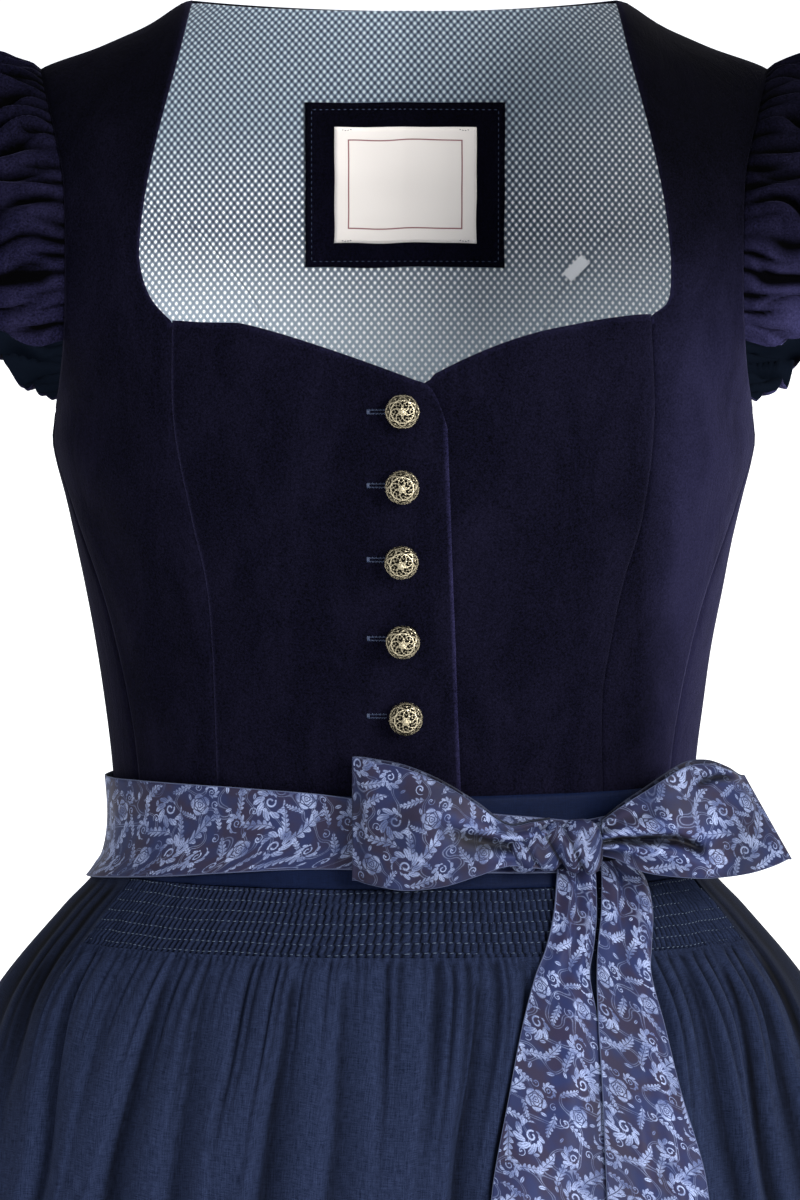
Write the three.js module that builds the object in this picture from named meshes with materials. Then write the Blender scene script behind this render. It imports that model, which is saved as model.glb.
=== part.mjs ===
// A dirndl: a velvet bodice with flounced cap sleeves, a gathered skirt, and an apron with a smocked top that a
// printed ribbon ties with a bow at the wearer's left. It is hollow and stands as on a wearer.
// Millimetres. +Z is up, the front faces -Y, and the wearer's left is +X. The origin lies midway between the two
// points where the shoulder seams meet the neck edge.
import * as THREE from "three";

// Driving dimensions
const SEAM_GAP = 0.3; // between two pieces that are sewn together
const VELVET = 2.0; // wall of a bodice front: velvet with its lining
const BACK_VELVET = 1.5; // wall of a bodice back, without the lining
const LINING = 0.8;
const SLEEVE_CLOTH = 1.6;
const LINEN = 1.4; // wall of the skirt and the apron
const BAND = 1.5; // wall of the apron's waistband
const RIBBON = 1.0; // wall of the printed ribbon
const NECK_X = 101; // a shoulder seam meets the neck edge here
const SHOULDER_X = 170; // and ends here, at the armhole
const SHOULDER_SLOPE = 0.435;
const UNDERARM_Z = -189;
const NECK_CORNER_Z = -145; // the princess seam meets the neckline
const NECK_CORNER_X = 106;
const WAIST_Z = -372; // the bodice is sewn to the skirt
const BAND_TOP_Z = -361;
const BAND_BOTTOM_Z = -403.4;
const SMOCK_TOP_Z = -403.8;
const SMOCK_BOTTOM_Z = -433;
const SKIRT_HEM_Z = -1020;
const APRON_HEM_Z = -985;
const LAYER_GAP = 0.9; // between cloths that lie on each other at the waist
const RIBBON_GAP = 1.0; // between the tied ribbon and what it lies on
const APRON_GAP = 0.9; // between the skirt's outer folds and the apron
const BUTTON_Z = [-187, -222, -256, -292, -327];
const BUTTON_RADIUS = 7.8;
const WAIST_RADIUS = 120; // turns an angle round the waist into a length
const KNOT = { x: 78.5, y: -99.3, z: -384, halfX: 11.7, halfY: 9.8, halfZ: 13 };

// The garment's outer form, a closed ring at each height. Above the underarm the ring is only a guide: the
// shoulder arch below closes it, and the armholes are cut out of it.
const RINGS = [
  { z: -30, half: 184, front: 112, back: 100, square: 2.25 },
  { z: -110, half: 176, front: 114, back: 101, square: 2.25 },
  { z: -145, half: 173, front: 115.5, back: 102, square: 2.25 },
  { z: -168, half: 168, front: 116.5, back: 102, square: 2.25 },
  { z: -189, half: 163.5, front: 117.5, back: 102, square: 2.25 },
  { z: -205, half: 164.5, front: 118, back: 101, square: 2.25 },
  { z: -233, half: 158, front: 115.5, back: 98, square: 2.25 },
  { z: -280, half: 148, front: 107, back: 92, square: 2.25 },
  { z: -327, half: 140.5, front: 99.5, back: 88, square: 2.25 },
  { z: -362, half: 136.5, front: 96, back: 86.5, square: 2.25 },
  { z: -386, half: 136, front: 96.5, back: 87.5, square: 2.25 },
  { z: -404, half: 141.5, front: 100.5, back: 92, square: 2.25 },
  { z: -421, half: 157, front: 110.5, back: 103, square: 2.2 },
  { z: -444, half: 175.5, front: 122, back: 117, square: 2.2 },
  { z: -468, half: 190, front: 133, back: 130, square: 2.15 },
  { z: -533, half: 218, front: 158, back: 158, square: 2.1 },
  { z: -620, half: 246, front: 186, back: 188, square: 2.05 },
  { z: -760, half: 281, front: 226, back: 230, square: 2.0 },
  { z: -1020, half: 328, front: 279, back: 286, square: 2.0 },
];

// How far from the middle each front princess seam runs, on the wearer's right and left.
const FRONT_SEAMS = [
  { z: -145, right: 106, left: 113 },
  { z: -190, right: 105.5, left: 114.5 },
  { z: -236, right: 97, left: 109 },
  { z: -263, right: 91, left: 101 },
  { z: -290, right: 88.5, left: 95.5 },
  { z: -316, right: 87.5, left: 91.5 },
  { z: -372, right: 86, left: 92 },
];

// Half the distance between the two back princess seams, which end in the armholes.
const BACK_SEAMS = [
  { z: -85, half: 156 },
  { z: -90, half: 135 },
  { z: -97, half: 117 },
  { z: -106, half: 101 },
  { z: -119, half: 90 },
  { z: -145, half: 71 },
  { z: -189, half: 60 },
  { z: -263, half: 51 },
  { z: -372, half: 44 },
];

// The neckline's side edges on the front, from the shoulder seam down to the corner.
const NECK_EDGE = [
  { z: 0, half: 99.5 },
  { z: -19, half: 103.5 },
  { z: -54, half: 113 },
  { z: -84, half: 119 },
  { z: -110, half: 121.7 },
  { z: -128, half: 120.4 },
  { z: -136, half: 116 },
  { z: -142, half: 109.5 },
  { z: -145, half: 106 },
];

// The armhole edge, which the sleeve is sewn to.
const ARM_EDGE = [
  { z: -30, half: 170 },
  { z: -57, half: 163 },
  { z: -84, half: 157.5 },
  { z: -130, half: 156.5 },
  { z: -155, half: 157.5 },
  { z: -175, half: 160 },
  { z: -189, half: 163.4 },
];

// The side seam's place as a share of the ring's half width, on the front half of the ring.
const SIDE_SEAM = [
  { z: -189, share: 1 },
  { z: -233, share: 0.975 },
  { z: -280, share: 0.93 },
  { z: -327, share: 0.905 },
  { z: -372, share: 0.9 },
];

// How deep the gathers of the skirt and the apron are, from crest to trough.
const FOLD_DEPTH = [
  { z: -372, skirt: 1.0, apron: 0.6 },
  { z: -404, skirt: 2, apron: 0.8 },
  { z: -433, skirt: 4, apron: 1.6 },
  { z: -468, skirt: 8, apron: 6 },
  { z: -533, skirt: 12, apron: 10 },
  { z: -760, skirt: 22, apron: 16 },
  { z: -1020, skirt: 34, apron: 24 },
];

// The apron's main folds. top and low are the trough's place as a share of the ring's half width, at the
// smocking and 100 mm below it; deep is its share of the full fold depth.
const APRON_FOLDS = [
  { top: -0.985, low: -0.93, deep: 0.6 },
  { top: -0.93, low: -0.83, deep: 0.55 },
  { top: -0.824, low: -0.73, deep: 0.7 },
  { top: -0.7, low: -0.66, deep: 0.45 },
  { top: -0.581, low: -0.592, deep: 1.0 },
  { top: -0.467, low: -0.451, deep: 0.7 },
  { top: -0.359, low: -0.36, deep: 0.4 },
  { top: -0.251, low: -0.274, deep: 1.0 },
  { top: -0.127, low: -0.132, deep: 0.75 },
  { top: -0.035, low: -0.045, deep: 0.5 },
  { top: 0.06, low: 0.02, deep: 0.6 },
  { top: 0.161, low: 0.086, deep: 0.95 },
  { top: 0.282, low: 0.165, deep: 0.75 },
  { top: 0.39, low: 0.29, deep: 0.6 },
  { top: 0.5, low: 0.42, deep: 0.8 },
  { top: 0.61, low: 0.55, deep: 0.6 },
  { top: 0.71, low: 0.66, deep: 0.85 },
  { top: 0.82, low: 0.735, deep: 1.0 },
  { top: 0.885, low: 0.82, deep: 0.8 },
  { top: 0.94, low: 0.885, deep: 0.6 },
  { top: 0.985, low: 0.94, deep: 0.6 },
];

// The printed ribbon's top and bottom edge by the distance from the knot, measured round the waist.
const RIBBON_EDGES = [
  { z: 0, top: -374, bottom: -397 },
  { z: -40, top: -369, bottom: -396 },
  { z: -100, top: -360, bottom: -394.8 },
  { z: -170, top: -358, bottom: -401 },
  { z: -260, top: -361, bottom: -409 },
];

// The bow's loops, from the knot outwards: how far along, the top and bottom edge, and the y of the two layers.
const RIGHT_LOOP = [
  { x: 66.6, top: -371, bottom: -394, front: -104, rear: -97 },
  { x: 58, top: -372, bottom: -393, front: -107, rear: -98.5 },
  { x: 47, top: -373, bottom: -392, front: -110, rear: -100.5 },
  { x: 33, top: -363, bottom: -396, front: -116, rear: -102.5 },
  { x: 17, top: -353, bottom: -400.5, front: -119.5, rear: -104 },
  { x: 0, top: -346, bottom: -402, front: -119.5, rear: -104.5 },
  { x: -15, top: -343, bottom: -400, front: -116, rear: -105 },
  { x: -21.5, top: -342, bottom: -398.5, front: -111, rear: -107 },
];
const LEFT_LOOP = [
  { x: 90.1, top: -372, bottom: -388, front: -101, rear: -95 },
  { x: 98, top: -366, bottom: -390, front: -103, rear: -91.5 },
  { x: 108, top: -359.5, bottom: -395, front: -104, rear: -88 },
  { x: 120, top: -353, bottom: -397.5, front: -103, rear: -82 },
  { x: 134, top: -347.5, bottom: -399, front: -98, rear: -77 },
  { x: 148, top: -347, bottom: -398, front: -90.5, rear: -72 },
  { x: 158, top: -350.5, bottom: -395, front: -82, rear: -69 },
  { x: 163, top: -354, bottom: -393, front: -75.5, rear: -69 },
];
const LOOP_SLANT = 11; // the left loop's fold leans out by this much from its top to its bottom
const LOOP_CROWN = 2.4; // how far a loop's cloth swells between its edges

// The ribbon's tails: left and right edge by height, for the tail that lies under and the one over it.
const UNDER_TAIL = [
  { z: -395, left: 69.5, right: 87 },
  { z: -415, left: 67.5, right: 87.5 },
  { z: -429, left: 64, right: 86 },
  { z: -441, left: 59, right: 84 },
  { z: -464, left: 52.5, right: 88 },
  { z: -493, left: 46.5, right: 91 },
  { z: -533, left: 39, right: 92 },
  { z: -620, left: 31, right: 84 },
  { z: -740, left: 24, right: 77 },
  { z: -860, left: 19, right: 72 },
];
const OVER_TAIL = [
  { z: -392, left: 89, right: 101 },
  { z: -400, left: 89.5, right: 109 },
  { z: -415, left: 89, right: 113 },
  { z: -429, left: 87.5, right: 112.5 },
  { z: -441, left: 87, right: 112 },
  { z: -464, left: 87.5, right: 118 },
  { z: -493, left: 89, right: 125 },
  { z: -533, left: 90.5, right: 136 },
  { z: -620, left: 93, right: 145 },
  { z: -740, left: 95, right: 148 },
  { z: -860, left: 97, right: 150 },
];

const LEVELS = [-372, -335, -299, -263, -226, -189, -168, -145];
const BACK_LEVELS = [...LEVELS, -119, -106, -97, -90, -85];
const RISE = [0.03, 0.06, 0.12, 0.25, 0.5, 0.7, 0.85, 0.95, 0.985, 1];
const BACK_RISE = [0.25, 0.5, 0.7, 0.86, 0.96, 1];

// Small helpers
const lerp = (a, b, t) => a + (b - a) * t;
const clamp = (t) => Math.min(1, Math.max(0, t));
const smooth = (a, b, x) => {
  const t = clamp((x - a) / (b - a));
  return t * t * (3 - 2 * t);
};
const steps = (count) => Array.from({ length: count + 1 }, (_, i) => i / count);
const vec = (x, y, z) => new THREE.Vector3(x, y, z);

// A table's named column at a height, on a smooth curve through its rows, which run from the top down.
function column(rows, name, z) {
  const last = rows.length - 1;
  if (z >= rows[0].z) return rows[0][name];
  if (z <= rows[last].z) return rows[last][name];
  const i = rows.findIndex((row, k) => z < row.z && z >= rows[k + 1].z);
  const slope = (k) => {
    const a = rows[Math.max(k - 1, 0)];
    const b = rows[Math.min(k + 1, last)];
    return (b[name] - a[name]) / (b.z - a.z);
  };
  const span = rows[i + 1].z - rows[i].z;
  const t = (z - rows[i].z) / span;
  const value = rows[i][name] * (1 + 2 * t) * (1 - t) ** 2 + rows[i + 1][name] * t * t * (3 - 2 * t);
  return value + span * (slope(i) * t * (1 - t) ** 2 - slope(i + 1) * t * t * (1 - t));
}

// The garment's form
const ridgeZ = (x) => (NECK_X - Math.abs(x)) * SHOULDER_SLOPE;

// 1 below the underarm, falling in an arch to 0 at the shoulder ridge, where front and back meet.
function shoulderArch(x, z) {
  if (z <= UNDERARM_Z) return 1;
  const share = clamp((ridgeZ(x) - z) / (ridgeZ(x) - UNDERARM_Z));
  return Math.sqrt(1 - (1 - share) ** 2.2);
}

// A point of the outer form. angle is 0 at the front's middle, positive to the wearer's left and PI at the
// back; out moves the whole ring outwards.
function form(angle, z, out = 0) {
  const power = 2 / column(RINGS, "square", z);
  const s = Math.sin(angle);
  const c = Math.cos(angle);
  const x = Math.sign(s) * Math.abs(s) ** power * (column(RINGS, "half", z) + out);
  const depth = column(RINGS, c > 0 ? "front" : "back", z) + out;
  return vec(x, -Math.sign(c) * Math.abs(c) ** power * depth * shoulderArch(x, z), z);
}

function angleOf(x, z, out = 0) {
  const share = Math.min(1, Math.abs(x) / (column(RINGS, "half", z) + out));
  return Math.sign(x) * Math.asin(share ** (column(RINGS, "square", z) / 2));
}

const backAngleOf = (x, z) => Math.PI - angleOf(x, z);

function outward(angle, z) {
  const x = form(angle, z).x;
  const below = Math.min(z, ridgeZ(x) - 1.5);
  const across = form(angle + 0.004, below).sub(form(angle - 0.004, below));
  const up = form(angle, below + 0.7).sub(form(angle, below - 0.7));
  const normal = across.cross(up).normalize();
  if (ridgeZ(x) - z < 0.5) normal.setY(0).normalize(); // along the shoulder ridge it points straight up
  return normal;
}

// A point on the bodice, moved out along the cloth's own normal; at the ridge it keeps half a seam gap clear.
function skin(angle, z, out) {
  const p = form(angle, z);
  if (ridgeZ(p.x) - z < 0.5) p.setY((Math.cos(angle) > 0 ? -1 : 1) * (SEAM_GAP / 2));
  return p.addScaledVector(outward(angle, z), out);
}

// Solids
// A closed wall between two grids of points with the same rows and columns. wrap joins the last column to the
// first, for a tube.
function wall(outer, inner, wrap = false) {
  const rows = outer.length;
  const cols = outer[0].length;
  const positions = [];
  for (const grid of [outer, inner])
    for (const row of grid) for (const p of row) positions.push(p.x, p.y, p.z);
  const at = (layer, r, c) => (layer * rows + r) * cols + (c % cols);
  const index = [];
  const quad = (a, b, c, d) => index.push(a, b, c, a, c, d);
  const spans = wrap ? cols : cols - 1;
  for (let r = 0; r < rows - 1; r++)
    for (let c = 0; c < spans; c++) {
      quad(at(0, r, c), at(0, r, c + 1), at(0, r + 1, c + 1), at(0, r + 1, c));
      quad(at(1, r, c), at(1, r + 1, c), at(1, r + 1, c + 1), at(1, r, c + 1));
    }
  for (let c = 0; c < spans; c++) {
    quad(at(1, 0, c), at(1, 0, c + 1), at(0, 0, c + 1), at(0, 0, c));
    quad(at(0, rows - 1, c), at(0, rows - 1, c + 1), at(1, rows - 1, c + 1), at(1, rows - 1, c));
  }
  if (!wrap)
    for (let r = 0; r < rows - 1; r++) {
      quad(at(0, r, 0), at(0, r + 1, 0), at(1, r + 1, 0), at(1, r, 0));
      quad(at(1, r, cols - 1), at(1, r + 1, cols - 1), at(0, r + 1, cols - 1), at(0, r, cols - 1));
    }
  const geometry = new THREE.BufferGeometry();
  geometry.setAttribute("position", new THREE.Float32BufferAttribute(positions, 3));
  geometry.setIndex(volume(positions, index) < 0 ? index.reverse() : index);
  geometry.computeVertexNormals();
  return geometry;
}

function volume(positions, index) {
  const corner = (k) => vec(...positions.slice(3 * index[k], 3 * index[k] + 3));
  let sum = 0;
  for (let k = 0; k < index.length; k += 3) sum += corner(k).dot(corner(k + 1).cross(corner(k + 2)));
  return sum;
}

// A wall whose two faces come from one function of the place in the grid and the offset from the form.
function cloth(rowPlaces, columnPlaces, place, out, thickness, wrap = false) {
  const layer = (offset) => rowPlaces.map((r) => columnPlaces.map((c) => place(r, c, offset)));
  return wall(layer(out), layer(out - thickness), wrap);
}

const FINISH = {
  velvet: new THREE.MeshStandardMaterial({ color: 0x14142a, roughness: 0.9, metalness: 0 }),
  lining: new THREE.MeshStandardMaterial({ color: 0x8490a0, roughness: 0.8, metalness: 0 }),
  linen: new THREE.MeshStandardMaterial({ color: 0x242c44, roughness: 0.85, metalness: 0 }),
  sateen: new THREE.MeshStandardMaterial({ color: 0x1d2745, roughness: 0.6, metalness: 0 }),
  ribbon: new THREE.MeshStandardMaterial({ color: 0x535a7b, roughness: 0.6, metalness: 0 }),
  label: new THREE.MeshStandardMaterial({ color: 0xdcd4cf, roughness: 0.7, metalness: 0 }),
  button: new THREE.MeshStandardMaterial({ color: 0x776e62, roughness: 0.4, metalness: 0.9 }),
};

const dirndl = new THREE.Group();
function add(name, finish, geometry) {
  const mesh = new THREE.Mesh(geometry, FINISH[finish]);
  mesh.name = name;
  dirndl.add(mesh);
  return mesh;
}

// Bodice
const SEAM_TURN = 0.0015; // half a seam gap as an angle of the ring
const sideSeamAngle = (z) => {
  const x = column(SIDE_SEAM, "share", z) * column(RINGS, "half", z);
  return angleOf(x, z);
};
const armAngle = (z) => angleOf(column(ARM_EDGE, "half", z), z);

// The sweetheart neckline's height along the front, with its point a little to the wearer's left.
const NECK_POINT = { x: 7, z: -171, reach: 80 };
const NECK_LEVEL = -144; // of the neckline beside the dip
function necklineZ(x) {
  const near = Math.max(0, 1 - Math.abs(x - NECK_POINT.x) / NECK_POINT.reach);
  return lerp(NECK_LEVEL, NECK_POINT.z, near ** 1.25);
}

// The front edge of the wearer's right front, which laps over the left and is rounded at its top corner.
const FRONT_EDGE = { top: 19.5, bottom: 26, roundTo: -192, straightTo: -368 };
function frontEdgeX(z) {
  const down = clamp((FRONT_EDGE.roundTo - z) / (FRONT_EDGE.roundTo - FRONT_EDGE.straightTo));
  return lerp(FRONT_EDGE.top, FRONT_EDGE.bottom, down);
}
const LAP = VELVET + 0.7; // the lapping front lies this far out
const UNDERLAP_X = -10;

// How far the lap pushes out what is tied over it at the waist.
const lapBulge = (x, z) => (LAP + 0.5) * smooth(-44, -16, x) * (1 - smooth(28, 54, x)) * smooth(-390, -376, z);

function addFrontCentres() {
  const share = (z) => (z - WAIST_Z) / (NECK_CORNER_Z - WAIST_Z);
  const rows = LEVELS.map(share);
  const rightTop = (x) => {
    const rounded = ((x - NECK_POINT.x) / (FRONT_EDGE.top - NECK_POINT.x)) ** 2.2;
    return x > NECK_POINT.x ? lerp(NECK_POINT.z, FRONT_EDGE.roundTo, rounded) : necklineZ(x);
  };
  const leftTop = (x) => (x < NECK_POINT.x ? NECK_POINT.z - 3 : necklineZ(x) - (x < 12 ? 1.5 : 0));
  const right = (v, u, out) => {
    const top = rightTop(lerp(-column(FRONT_SEAMS, "right", NECK_CORNER_Z), FRONT_EDGE.top, u));
    const z = lerp(WAIST_Z, top, v);
    const x = lerp(-column(FRONT_SEAMS, "right", z), frontEdgeX(z), u);
    const lap = LAP * smooth(-34, -12, x);
    return skin(angleOf(x, z) + (u === 0 ? SEAM_TURN : 0), z, out + lap);
  };
  const left = (v, u, out) => {
    const seam = column(FRONT_SEAMS, "left", NECK_CORNER_Z);
    const z = lerp(WAIST_Z, leftTop(lerp(UNDERLAP_X, seam, u)), v);
    const x = lerp(UNDERLAP_X, column(FRONT_SEAMS, "left", z), u);
    return skin(angleOf(x, z) - (u === 1 ? SEAM_TURN : 0), z, out);
  };
  const rightColumns = [0, 0.14, 0.28, 0.42, 0.55, 0.66, 0.76, 0.84, 0.9, 0.95, 1];
  const leftColumns = [0, 0.07, 0.14, 0.2, 0.28, 0.38, 0.5, 0.64, 0.8, 1];
  add("front_centre_right", "velvet", cloth(rows, rightColumns, right, 0, VELVET));
  add("front_centre_left", "velvet", cloth(rows, leftColumns, left, 0, VELVET));
}

// Each front side runs from the princess seam to the side seam and on up as the shoulder strap.
function addFrontSide(name, side) {
  const seam = side < 0 ? "right" : "left";
  const rows = [...LEVELS.map((z) => ({ z, rise: 0 })), ...RISE.map((rise) => ({ z: NECK_CORNER_Z, rise }))];
  const place = (row, u, out) => {
    let inner = angleOf(column(FRONT_SEAMS, seam, row.z), row.z);
    let outer = row.z <= UNDERARM_Z ? sideSeamAngle(row.z) : armAngle(row.z);
    let z = row.z;
    if (row.rise > 0) {
      const neckZ = lerp(NECK_CORNER_Z, 0, row.rise);
      const neckX = column(NECK_EDGE, "half", neckZ);
      const shift = (column(FRONT_SEAMS, seam, NECK_CORNER_Z) - NECK_CORNER_X) * (1 - smooth(0, 0.06, row.rise));
      const armX = column(ARM_EDGE, "half", lerp(NECK_CORNER_Z, ridgeZ(SHOULDER_X), row.rise));
      const x = lerp(neckX + shift, armX, u);
      z = lerp(NECK_CORNER_Z, ridgeZ(x), row.rise);
      inner = outer = angleOf(x, z);
    }
    const trim = row.rise > 0 ? 0 : u === 0 ? SEAM_TURN : u === 1 && z <= UNDERARM_Z ? -SEAM_TURN : 0;
    return skin(side * (lerp(inner, outer, u) + trim), z, out);
  };
  add(name, "velvet", cloth(rows, steps(4), place, 0, VELVET));
}

// The upper edge of the back: level across the neck and down along both shoulder seams.
const BACK_NECK_DIP = 2; // at the middle of the back's neck edge
const backTopZ = (x) => (Math.abs(x) < NECK_X ? -BACK_NECK_DIP * (1 - (x / NECK_X) ** 2) : ridgeZ(x));

// Shares of the back centre's half width; one falls where the shoulder seam meets the neck edge.
const BACK_COLUMNS = [0.14, 0.29, 0.44, 0.59, 0.73, 0.87, 1];
const ACROSS_BACK = [...BACK_COLUMNS.toReversed().map((share) => -share), 0, ...BACK_COLUMNS];

// A point of the whole back. row is a height with a rise of 0, or the top level with a share of the way on up
// to the upper edge. Beyond a share of 1 lie the back sides, out to the side seam or the armhole at a share of 2.
// trim moves the panels' edges, at shares of 1 and 2, by half a seam gap.
function backPoint(row, share, out, trim = 0) {
  const side = share < 0 ? -1 : 1;
  const across = Math.abs(share);
  if (row.rise > 0) {
    const armX = column(ARM_EDGE, "half", lerp(row.z, ridgeZ(SHOULDER_X), row.rise));
    const x = Math.min(across, 1) * armX;
    const z = lerp(row.z, backTopZ(x), row.rise);
    return skin(side * backAngleOf(x, z), z, out);
  }
  const seam = angleOf(column(BACK_SEAMS, "half", row.z), row.z);
  const end = row.z <= UNDERARM_Z ? Math.PI - sideSeamAngle(row.z) : armAngle(row.z);
  const angle = across <= 1 ? seam * across : lerp(seam, end, across - 1);
  const trimmed = angle + trim * ((across === 1) - (across === 2));
  return skin(side * (Math.PI - trimmed), row.z, out);
}

const BACK_TOP = BACK_LEVELS[BACK_LEVELS.length - 1];
const BACK_ROWS = BACK_LEVELS.map((z) => ({ z, rise: 0 }));
const ALL_BACK_ROWS = [...BACK_ROWS, ...BACK_RISE.map((rise) => ({ z: BACK_TOP, rise }))];
const SIDE_COLUMNS = steps(6).map((t) => 1 + t);

function addBacks() {
  const centre = (row, share, out) => backPoint(row, share, out, -SEAM_TURN);
  const beside = (row, share, out) => backPoint(row, share, out, SEAM_TURN);
  const onRight = SIDE_COLUMNS.toReversed().map((share) => -share);
  add("back_centre", "velvet", cloth(ALL_BACK_ROWS, ACROSS_BACK, centre, 0, BACK_VELVET));
  add("back_side_right", "velvet", cloth(BACK_ROWS, onRight, beside, 0, BACK_VELVET));
  add("back_side_left", "velvet", cloth(BACK_ROWS, SIDE_COLUMNS, beside, 0, BACK_VELVET));
}

// The lining follows the back's own columns and rows, so the two lie evenly on each other. It stops a little
// short of the side seams and armholes.
const LINING_OUT = -BACK_VELVET - 0.5;
const BESIDE = [...SIDE_COLUMNS.slice(1, -1), 1.997];
const ACROSS_LINING = [...BESIDE.toReversed().map((share) => -share), ...ACROSS_BACK, ...BESIDE];

function addLining() {
  add("back_lining", "lining", cloth(ALL_BACK_ROWS, ACROSS_LINING, backPoint, LINING_OUT, LINING));
}

const faceOf = (rows, columns, place, out) => rows.map((row) => columns.map((c) => place(row, c, out)));

// The point that a face of triangles has at a given x and z, moved towards the front along its normal.
function onFace(face, x, z, forward) {
  for (let r = 0; r + 1 < face.length; r++)
    for (let c = 0; c + 1 < face[r].length; c++) {
      const [a, b, d, e] = [face[r][c], face[r][c + 1], face[r + 1][c], face[r + 1][c + 1]];
      for (const corners of [[a, b, e], [a, e, d]]) {
        const flat = new THREE.Triangle(...corners.map((p) => vec(p.x, p.z, 0)));
        const share = flat.getBarycoord(vec(x, z, 0), vec(0, 0, 0));
        if (!share || Math.min(share.x, share.y, share.z) < -1e-6) continue;
        const p = vec(0, 0, 0);
        corners.forEach((corner, k) => p.addScaledVector(corner, share.getComponent(k)));
        const normal = new THREE.Triangle(...corners).getNormal(vec(0, 0, 0));
        return p.addScaledVector(normal, normal.y < 0 ? forward : -forward);
      }
    }
  throw new Error("the face has no point at " + x + ", " + z);
}

// The neck label on its velvet patch, and the small size tab, all lying on the back lining.
const PATCH = { left: -48, right: 49, top: -45, bottom: -125, thickness: 1.2 };
const LABEL = { left: -34, right: 35.5, top: -56.5, bottom: -113, thickness: 0.6 };
const SIZE_TAB = { x: 84, z: -125, length: 13, width: 6, thickness: 0.6, turn: Math.PI / 4 };

function addLabels() {
  const lining = faceOf(ALL_BACK_ROWS, ACROSS_LINING, backPoint, LINING_OUT - LINING);
  const piece = (name, finish, box, face) => {
    const place = (v, u, forward) =>
      onFace(face, lerp(box.left, box.right, u), lerp(box.bottom, box.top, v), forward);
    const near = SEAM_GAP + box.thickness;
    add(name, finish, cloth(steps(4), steps(7), place, near, box.thickness));
    return faceOf(steps(4), steps(7), place, near);
  };
  const patch = piece("label_patch", "velvet", PATCH, lining);
  piece("neck_label", "label", LABEL, patch);
  const tab = (v, u, forward) => {
    const along = (v - 0.5) * SIZE_TAB.length;
    const across = (u - 0.5) * SIZE_TAB.width;
    const x = SIZE_TAB.x + along * Math.cos(SIZE_TAB.turn) - across * Math.sin(SIZE_TAB.turn);
    const z = SIZE_TAB.z + along * Math.sin(SIZE_TAB.turn) + across * Math.cos(SIZE_TAB.turn);
    return onFace(lining, x, z, forward);
  };
  const near = SEAM_GAP + SIZE_TAB.thickness;
  add("size_tab", "label", cloth(steps(2), steps(2), tab, near, SIZE_TAB.thickness));
}

// Sleeves: a flounce gathered into the armhole from its front foot over the shoulder to its back foot.
const SLEEVE = {
  gathers: 22,
  foot: 2.62, // the flounce reaches this angle either side of the shoulder point
  width: 85,
  middleZ: -109.5,
  halfHeight: 79.5,
  lift: 9,
  wave: 4.2,
};

// The armhole's edge at an angle from the shoulder point, negative to the front.
function armholePoint(side, turn) {
  const z = SLEEVE.middleZ + SLEEVE.halfHeight * Math.cos(turn);
  const angle = Math.abs(turn) < 1e-6 ? Math.PI / 2 : armAngle(z);
  const p = form(turn < 0 ? angle : Math.PI - angle, z);
  if (Math.abs(turn) < 1e-6) p.set(SHOULDER_X, 0, ridgeZ(SHOULDER_X));
  return p.setX(side * p.x);
}

const sleeveWidth = (turn) => SLEEVE.width * (1 - (Math.abs(turn) / (SLEEVE.foot + 0.1)) ** 2.6);

function addSleeve(name, side) {
  const count = SLEEVE.gathers * 2;
  const rows = [0, 0.09, 0.3, 0.65, 1];
  const place = (share, u, out) => {
    const turn = lerp(-SLEEVE.foot, SLEEVE.foot, u);
    const p = armholePoint(side, turn);
    const radial = vec(0, p.y, p.z - SLEEVE.middleZ).normalize();
    const width = sleeveWidth(turn);
    const along = share * width;
    const gather = Math.cos(u * count * Math.PI + 0.5 * Math.sin(u * 23) * smooth(0.1, 0.5, share));
    const reach = smooth(0, 9, along);
    const stand = SLEEVE.lift * (0.6 + 0.4 * Math.cos(turn)); // it stands up most on the shoulder
    const lift = stand * (1 - Math.exp(-along / 9)) - 0.0016 * along * along;
    const wave = SLEEVE.wave * lerp(0.25, 1, reach) * (gather - lerp(1, 0.2, reach)) * 0.5;
    p.x += side * (0.5 + along);
    p.z -= 0.0012 * along * along;
    return p.addScaledVector(radial, out + lift + wave - 0.5);
  };
  add(name, "velvet", cloth(rows, steps(count), place, 0, SLEEVE_CLOTH));
}

// Buttons: domes on short shanks, in a row down the lapping front.
function addButtons() {
  const profile = [
    [0, 0],
    [2.2, 0],
    [2.2, 1.7],
    [6.4, 2.4],
    [BUTTON_RADIUS, 5.4],
    [6.7, 8.8],
    [3.6, 11.0],
    [0, 11.7],
  ].map(([radius, height]) => new THREE.Vector2(radius, height));
  BUTTON_Z.forEach((z, i) => {
    const mesh = add("button_" + (i + 1), "button", new THREE.LatheGeometry(profile, 12));
    const angle = angleOf(0.2, z);
    mesh.quaternion.setFromUnitVectors(vec(0, 1, 0), outward(angle, z));
    mesh.position.copy(skin(angle, z, LAP + SEAM_GAP + 0.1));
  });
}

// Skirt: two widths of linen, gathered into the waist seam and joined at the sides.
const SKIRT_FOLDS = 34; // all round; each has one crest and one trough
const SKIRT_ROWS = [WAIST_Z - SEAM_GAP, -386, -395, -404, -433, -468, -533, -620, -760, SKIRT_HEM_Z];

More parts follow.
